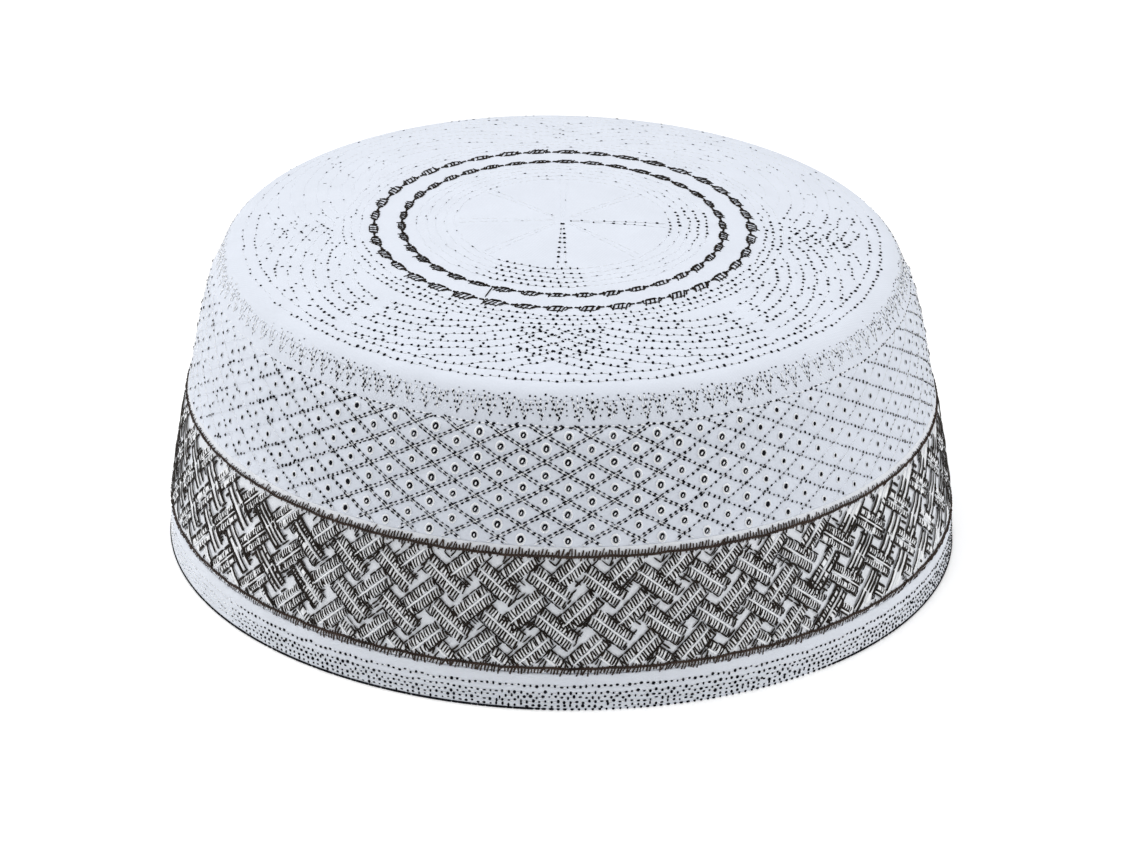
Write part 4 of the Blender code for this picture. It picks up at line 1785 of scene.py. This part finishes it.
class CAP_OT_band_embroidery(bpy.types.Operator):
    """Sews the basket pattern: pairs of padded bars, crossed by dark satin threads."""

    bl_idname = "cap.band_embroidery"
    bl_label = "Band embroidery"

    def execute(self, context):
        embroidery = context.scene.cap_embroidery
        random = np.random.default_rng(SEED + 3)
        low = run_at_height(BORDER_HIGH_BOTTOM + BORDER_OVERLAP)
        high = run_at_height(BORDER_LOW_TOP - BORDER_OVERLAP)
        sewn = {"pads": [], "cords": [], "rising": [], "falling": [], "fine": [], "bold": []}
        for cell in basket_cells(embroidery):
            runs = (low + PAD_MARGIN, high - PAD_MARGIN)
            self.sew_cell(sewn, cell, embroidery.stroke_pitch, random, runs)
        white = Threads()
        white.lay(sewn["pads"], embroidery.bar_width, PAD_THICKNESS, 0.0, PAD_SHAPE, 6)
        white.lay(sewn["cords"], CORD_WIDTH, PAD_THICKNESS, CORD_LIFT, PAD_SHAPE, 6)
        white.settle("band_bar_pads", thread(context, "white"))
        for kind in ("rising", "falling"):
            ends = inside_band(sewn[kind], low, high)
            thick = embroidery.stroke_width * random.uniform(0.8, 1.2, len(ends))
            away = np.abs(degrees_round(ends[:, 0]))
            thick = thick * (1.0 + 0.35 * smooth_step(*LINES_WIDEN, away))
            dark = Threads()
            dark.lay(ends, thick, SATIN_THICKNESS, RUNG_LIFT, SATIN_SHAPE, 4)
            dark.settle("band_threads_" + kind, thread(context, "brown"))
        dark = Threads()
        for kind, width, lift, shape, least, most, widens in OUTLINE_KINDS:
            ends = inside_band(sewn[kind], low, high)
            thick = width * random.uniform(0.75, 1.15, len(ends))
            away = np.abs(degrees_round(ends[:, 0]))
            thick = thick * (least + (most - least) * smooth_step(*widens, away))
            dark.lay(ends, thick, SATIN_THICKNESS, lift, shape, 4)
        dark.settle("band_outlines", thread(context, "brown"))
        return {"FINISHED"}

    def sew_cell(self, sewn, cell, pitch, random, runs):
        """One cell: two padded bars with a cord between, crossed by rungs and outlined."""
        self.add_bar(sewn["cords"], cell, cell.middle, 0.94 * cell.length, *runs)
        for side in (-1.0, 1.0):
            bar = cell.middle + side * cell.apart * cell.across
            self.add_bar(sewn["pads"], cell, bar, cell.length, *runs)
            self.sew_rungs(sewn, cell, bar, pitch, random)
            self.sew_tip(sewn["fine"], cell, side, random)
        self.sew_lines(sewn, cell, random)
        self.sew_bundle(sewn["fine"], cell, random)

    def add_bar(self, pads, cell, bar, length, low, high):
        """One padded bar, cut short where it meets a border."""
        share = np.linspace(-0.5, 0.5, 41)
        places = cell.place[1] + bar[1] + cell.along[1] * length * share
        kept = share[(places > low) & (places < high)]
        if len(kept) > 8:
            start = bar + cell.along * length * kept[0]
            end = bar + cell.along * length * kept[-1]
            pads.append(wound(*cell.place, start, end))

    def sew_rungs(self, sewn, cell, bar, pitch, random):
        """Rungs across one bar, fewer of them away from the front."""
        kind = "rising" if cell.lean > 0.0 else "falling"
        count = int(cell.length / (pitch * (1.0 + 0.9 * cell.wider)))
        slant = np.array([cell.lean * math.sin(RUNG_LEAN), math.cos(RUNG_LEAN)])
        missing = (BOLD_RUNGS_MISSING if cell.bold else FINE_RUNGS_MISSING) * cell.far**2
        for stroke in range(count):
            share = (stroke + 0.5) / count - 0.5
            spot = bar + cell.along * cell.length * (share + random.normal(0.0, 0.007))
            reach = 0.55 * cell.width * random.uniform(0.82, 1.16) * (1.0 - 0.35 * cell.far)
            rung = slant + 0.10 * random.normal(0.0, 1.0) * cell.along
            if random.uniform() > missing:
                sewn[kind].append(wound(*cell.place, spot - rung * reach, spot + rung * reach))

    def sew_tip(self, fine, cell, side, random):
        """The outline across one end of a cell, in parts."""
        tip = cell.middle + side * (0.5 * cell.length + TIP_GAP) * cell.along
        share = 0.5 - 0.5 * cell.far if cell.bold else 0.5 - 0.2 * cell.wider
        for part in range(TIP_PARTS):
            first = tip + cell.flank * cell.across * (2.0 * part / TIP_PARTS - 1.0)
            last = tip + cell.flank * cell.across * (2.0 * (part + 1) / TIP_PARTS - 1.0)
            if random.uniform() < share:
                fine.append(wound(*cell.place, first, last))

    def sew_lines(self, sewn, cell, random):
        """Outlines beside a cell, which give way to long lines along it away from the front.

        The lines are bold on the cells that lean toward the front and fine on the others.
        """
        outer = cell.flank + NEXT_LINE
        outline = OUTLINE_SHARE * (1.0 - cell.far**2)
        beside = NEXT_LINE_SHARE - NEXT_LINE_SHARE * cell.far if cell.bold else NEXT_LINE_SHARE
        lines = [(offset, 5, outline, "fine") for offset in (-cell.flank, cell.flank)]
        lines += [(offset, 4, beside, "fine") for offset in (-outer, outer)]
        if cell.bold:
            offsets = BOLD_LINES if cell.wider < 0.2 else FEW_LINES
            lines += [(offset * MM, 2, min(1.0, 1.8 * cell.far), "bold") for offset in offsets]
        else:
            offsets = FINE_LINES if cell.wider < 0.5 else FEW_LINES
            lines += [(offset * MM, 3, 0.92 * cell.far, "fine") for offset in offsets]
        for offset, parts, share, kind in lines:
            middle = cell.middle + offset * cell.across
            self.sew_line(sewn[kind], cell, middle, cell.length, parts, share, random)

    def sew_bundle(self, fine, cell, random):
        """Short threads in the gap beside one end of a cell."""
        share = (0.42 if cell.lean > 0.0 else 0.25) * (1.0 - 0.6 * cell.wider)
        for row in range(BUNDLE_ROWS):
            out = -cell.lean * (BUNDLE_OUT + BUNDLE_STEP * row) * MM
            middle = out * cell.across + BUNDLE_ALONG * cell.along
            self.sew_line(fine, cell, middle, BUNDLE_LENGTH, 2, share, random)

    def sew_line(self, threads, cell, middle, length, parts, share, random):
        """A line along a cell, sewn in parts of which a share is kept."""
        jogs = random.normal(0.0, LINE_JOG, parts)
        kept = random.uniform(0.0, 1.0, parts) < share
        for part in np.flatnonzero(kept):
            place = middle + cell.across * jogs[part]
            first = place + cell.along * length * (part / parts - 0.51)
            last = place + cell.along * length * ((part + 1) / parts - 0.49)
            threads.append(wound(*cell.place, first, last))


def border_slimness(angle):
    """The borders narrow toward both sides of the cap."""
    return 1.0 - BORDER_NARROWING * smooth_step(*BORDER_NARROWS, np.abs(degrees_round(angle)))


class CAP_OT_band_borders(bpy.types.Operator):
    """Sews the two satin borders: short threads laid across a dark cord."""

    bl_idname = "cap.band_borders"
    bl_label = "Band borders"

    def execute(self, context):
        embroidery = context.scene.cap_embroidery
        random = np.random.default_rng(SEED + 4)
        borders = (
            ("border_top_threads", BORDER_HIGH_TOP, BORDER_HIGH_BOTTOM, 1.0, "band_border_top"),
            ("border_bottom_threads", BORDER_LOW_TOP, BORDER_LOW_BOTTOM, -1.0, "band_border_bottom"),
        )
        for name, top, bottom, way, node in borders:
            first = run_at_height(top)
            last = run_at_height(bottom)
            middle = 0.5 * (first + last)
            radius = face_radius(middle)
            count = int(FULL_TURN * radius / embroidery.border_pitch)
            stray = random.normal(0.0, BORDER_ANGLE_STRAY, count)
            angle = FULL_TURN * (np.arange(count) + stray) / count
            slim = border_slimness(angle)
            half = 0.5 * (last - first) * slim * random.uniform(*BORDER_HALF_SHARES, count)
            lean = (BORDER_LEAN + random.normal(0.0, BORDER_STRAY, count)) / radius
            shift = random.normal(0.0, BORDER_STRAY, count)
            start = middle + shift - half
            end = middle + shift + half
            ends = np.stack([angle + lean, start, angle - lean, end], axis=1)
            dark = Threads()
            width = embroidery.stroke_width * random.uniform(0.8, 1.15, count)
            dark.lay(ends, width * slim, BORDER_THICKNESS, BORDER_LIFT, SATIN_SHAPE, 4)
            reach = BORDER_CORD_SHIFT * (last - first) * way

            def sway(turn):
                ripple = sum(height * np.sin(number * turn) for height, number in BORDER_RIPPLES)
                return reach * border_slimness(turn) + ripple

            dark.lay_ring(middle, *BORDER_CORD, BORDER_CORD_COLUMNS, BORDER_CORD_SIDES, sway)
            dark.settle(name, thread(context, "border"), [node])
        return {"FINISHED"}


class CAP_OT_crown_rings(bpy.types.Operator):
    """Sews the two rings of leaves on the crown and the thread that joins them."""

    bl_idname = "cap.crown_rings"
    bl_label = "Crown rings"

    def execute(self, context):
        random = np.random.default_rng(SEED + 5)
        leaves = context.scene.cap_embroidery.ring_leaves
        step = FULL_TURN / leaves
        rings = (
            ("outer", RING_OUTER_RADIUS, OUTER_SHIFT, OUTER_LEAF_HEIGHT),
            ("inner", RING_INNER_RADIUS, INNER_SHIFT, INNER_LEAF_HEIGHT),
        )
        for name, radius, shift, height in rings:
            sewn = {kind[0]: [] for kind in LEAF_KINDS}
            for leaf in range(leaves):
                turn = LEAF_PHASE + (leaf + random.normal(0.0, 0.03)) * step
                place = (turn, run_at_radius(radius + shift * math.cos(turn)))
                half = LEAF_SHARE * step * radius
                self.sew_leaf(sewn, place, half, step * radius - half, height, random)
            if name == "outer":
                ends = (JUMP_START[0], run_at_radius(JUMP_START[1]), JUMP_END[0], run_at_radius(JUMP_END[1]))
                sewn["fine"].append(ends)
            dark = Threads()
            for kind, least, most, thickness, lift, shape in LEAF_KINDS:
                width = random.uniform(least, most, len(sewn[kind])) * MM
                dark.lay(sewn[kind], width, thickness, lift, shape, 4)
            nodes = ["crown_ring_" + name]
            dark.settle("ring_" + name + "_threads", thread(context, "brown"), nodes)
        return {"FINISHED"}

    def sew_leaf(self, sewn, place, half, far, height, random):
        """One leaf: slanting threads, a bold floor, a fine roof and a bend to the next leaf."""
        tall = height * random.uniform(0.85, 1.12)
        slant = LEAF_SLANT * random.uniform(0.5, 1.2)
        floor = LEAF_FLOOR * tall
        roof = LEAF_ROOF * tall * random.uniform(0.85, 1.15)
        for strand in range(LEAF_THREADS):
            share = 2.0 * (strand + random.uniform(0.35, 0.65)) / LEAF_THREADS - 1.0
            high = roof * random.uniform(0.95, 1.8)
            start = (share * half - slant * high, high)
            end = (share * half - slant * floor, floor)
            sewn["hatching"].append(wound(*place, start, end))
        low = ((-1.15 * half, 0.0), (-0.8 * half, floor), (0.8 * half, floor), (1.15 * half, 0.0))
        left = (-0.9 * half - 0.5 * slant * roof, roof)
        right = (0.8 * half - 0.5 * slant * roof, roof)
        upper = ((-1.1 * half, 0.0), left, right, (1.1 * half, 0.0))
        bend = (0.5 * (half + far), random.normal(0.0, 0.2) * MM)
        onward = ((0.85 * half, 0.0), bend, (1.05 * far, 0.0))
        for kind, tips in (("bold", low), ("fine", upper), ("bold", onward)):
            sewn[kind] += [wound(*place, *ends) for ends in zip(tips, tips[1:])]


# The studio


def aimed(right, up, back, place):
    """The matrix of a lamp or camera at a place, from its own three directions."""
    matrix = Matrix.Identity(4)
    for column, values in enumerate((right, up, back, place)):
        for row in range(3):
            matrix[row][column] = values[row]
    return matrix


def add_light(name, place, size, power):
    """A square soft white light that points at the cap."""
    lamp = bpy.data.lights.new(name, "AREA")
    lamp.shape = "SQUARE"
    lamp.size = size
    lamp.energy = power
    light = bpy.data.objects.new(name, lamp)
    way = np.array(LIGHT_AIM) - np.array(place)
    back = -way / np.linalg.norm(way)
    right = np.cross((0.0, 1.0, 0.0) if abs(back[2]) > 0.9 else (0.0, 0.0, 1.0), back)
    right /= np.linalg.norm(right)
    light.matrix_world = aimed(right, np.cross(back, right), back, place)
    bpy.context.scene.collection.objects.link(light)


def add_camera():
    """The camera at the photograph's angle, with its slight roll."""
    data = bpy.data.cameras.new("camera")
    data.sensor_width = CAMERA_SENSOR
    data.lens = CAMERA_LENS
    data.clip_start = 0.05
    data.clip_end = 20.0
    camera = bpy.data.objects.new("camera", data)
    back = np.array([0.0, -math.cos(CAMERA_ELEVATION), math.sin(CAMERA_ELEVATION)])
    level_up = np.array([0.0, math.sin(CAMERA_ELEVATION), math.cos(CAMERA_ELEVATION)])
    level_right = np.array([1.0, 0.0, 0.0])
    right = math.cos(CAMERA_ROLL) * level_right + math.sin(CAMERA_ROLL) * level_up
    up = -math.sin(CAMERA_ROLL) * level_right + math.cos(CAMERA_ROLL) * level_up
    aim = np.array([0.0, 0.0, CAMERA_AIM_HEIGHT])
    place = aim + CAMERA_DISTANCE * back + CAMERA_RIGHT * level_right - CAMERA_DOWN * level_up
    camera.matrix_world = aimed(right, up, back, place)
    bpy.context.scene.collection.objects.link(camera)
    bpy.context.scene.camera = camera


def floor_material(settings):
    """Pale matt paper with the faintest mottle, lit a little from below."""
    material = bpy.data.materials.new("floor_paper")
    material.use_nodes = True
    tree = material.node_tree
    shader = tree.nodes["Principled BSDF"]
    mottle = add_noise(tree, object_place(tree), 6.0, 2.0)
    colours = [tinted(settings.floor_colour, share) for share in (0.995, 1.0)]
    feed(tree, add_ramp(tree, mottle, colours), shader.inputs["Base Color"])
    shader.inputs["Roughness"].default_value = 0.9
    shader.inputs["Specular IOR Level"].default_value = 0.1
    shader.inputs["Emission Color"].default_value = (1.0, 1.0, 1.0, 1.0)
    shader.inputs["Emission Strength"].default_value = settings.floor_glow
    return material


class CAP_OT_studio(bpy.types.Operator):
    """Sets up the pale floor, the soft lights and the camera."""

    bl_idname = "cap.studio"
    bl_label = "Studio"

    def execute(self, context):
        settings = context.scene.cap_studio
        corners = [(-1, -1, 0), (1, -1, 0), (1, 1, 0), (-1, 1, 0)]
        points = FLOOR_HALF * np.array(corners)
        floor = add_piece("floor", points, [[0, 1, 2, 3]], [], floor_material(settings))
        add_light("top_light", TOP_LIGHT, TOP_LIGHT_SIZE, settings.top_power)
        add_light("left_light", LEFT_LIGHT, SIDE_LIGHT_SIZE, settings.left_power)
        add_light("right_light", RIGHT_LIGHT, SIDE_LIGHT_SIZE, settings.right_power)
        world = bpy.data.worlds.new("white_room")
        world.use_nodes = True
        background = world.node_tree.nodes["Background"]
        background.inputs["Color"].default_value = (1.0, 1.0, 1.0, 1.0)
        background.inputs["Strength"].default_value = settings.world_strength
        context.scene.world = world
        context.scene.view_settings.view_transform = "Standard"
        context.scene.view_settings.look = "None"
        context.scene.view_settings.exposure = 0.0
        context.scene.view_settings.gamma = 1.0
        add_camera()
        return {"FINISHED"}


# Each sheet of cloth: its flat size in metres, how it is held, what it rests on and what is
# sewn to it
SHEETS = (
    (
        "crown_cloth", (0.175, 0.175), "stretched", "side_cloth",
        ("crown_running_stitches", "crown_needle_holes", "ring_outer_threads", "ring_inner_threads"),
    ),
    (
        "side_cloth", (0.570, 0.076), "stretched", "hem_cloth",
        (
            "diamond_stitches_rising", "diamond_stitches_falling", "diamond_needle_holes",
            "edge_zigzag", "edge_needle_holes", "eyelet_rings", "eyelet_holes", "eyelet_knots",
        ),
    ),
    (
        "band_cloth", (0.585, 0.030), "stretched", "side_cloth",
        (
            "band_bar_pads", "band_threads_rising", "band_threads_falling", "band_outlines",
            "border_top_threads", "border_bottom_threads",
        ),
    ),
    (
        "hem_cloth", (0.600, 0.024), "folded", "side_cloth",
        ("hem_running_stitches", "hem_needle_holes"),
    ),
)


class CAP_OT_cloth_facts(bpy.types.Operator):
    """Looks up the pieces that are sewn to each cloth panel."""

    bl_idname = "cap.cloth_facts"
    bl_label = "Cloth sizes"

    def execute(self, context):
        pieces = bpy.data.objects
        for name, flat, held, under, sewn in SHEETS:
            sewn = [pieces[other] for other in sewn]
        return {"FINISHED"}


class CAP_PT_panel(bpy.types.Panel):
    """Lists the cap's settings and its pieces."""

    bl_idname = "CAP_PT_panel"
    bl_label = "Prayer cap"
    bl_space_type = "VIEW_3D"
    bl_region_type = "UI"
    bl_category = "Cap"

    def draw(self, context):
        layout = self.layout
        for name, group in SETTINGS:
            box = layout.box()
            box.label(text=name.removeprefix("cap_").capitalize())
            for key in group.__annotations__:
                box.prop(getattr(context.scene, name), key)
        box = layout.box()
        box.label(text="Pieces")
        for operator in OPERATORS:
            box.operator(operator.bl_idname)


SETTINGS = (
    ("cap_cloth", ClothSettings),
    ("cap_stitches", StitchSettings),
    ("cap_embroidery", EmbroiderySettings),
    ("cap_studio", StudioSettings),
)

OPERATORS = (
    CAP_OT_crown_cloth,
    CAP_OT_side_cloth,
    CAP_OT_hem_cloth,
    CAP_OT_band_cloth,
    CAP_OT_crown_stitches,
    CAP_OT_side_stitches,
    CAP_OT_hem_stitches,
    CAP_OT_band_embroidery,
    CAP_OT_band_borders,
    CAP_OT_crown_rings,
    CAP_OT_cloth_facts,
    CAP_OT_studio,
)


def register():
    for name, group in SETTINGS:
        bpy.utils.register_class(group)
        setattr(bpy.types.Scene, name, PointerProperty(type=group))
    for operator in OPERATORS:
        bpy.utils.register_class(operator)
    bpy.utils.register_class(CAP_PT_panel)


def unregister():
    bpy.utils.unregister_class(CAP_PT_panel)
    for operator in reversed(OPERATORS):
        bpy.utils.unregister_class(operator)
    for name, group in reversed(SETTINGS):
        delattr(bpy.types.Scene, name)
        bpy.utils.unregister_class(group)


def main():
    register()
    bpy.ops.cap.crown_cloth()
    bpy.ops.cap.side_cloth()
    bpy.ops.cap.hem_cloth()
    bpy.ops.cap.band_cloth()
    bpy.ops.cap.crown_stitches()
    bpy.ops.cap.side_stitches()
    bpy.ops.cap.hem_stitches()
    bpy.ops.cap.band_embroidery()
    bpy.ops.cap.band_borders()
    bpy.ops.cap.crown_rings()
    bpy.ops.cap.cloth_facts()
    bpy.ops.cap.studio()


if __name__ == "__main__":
    main()
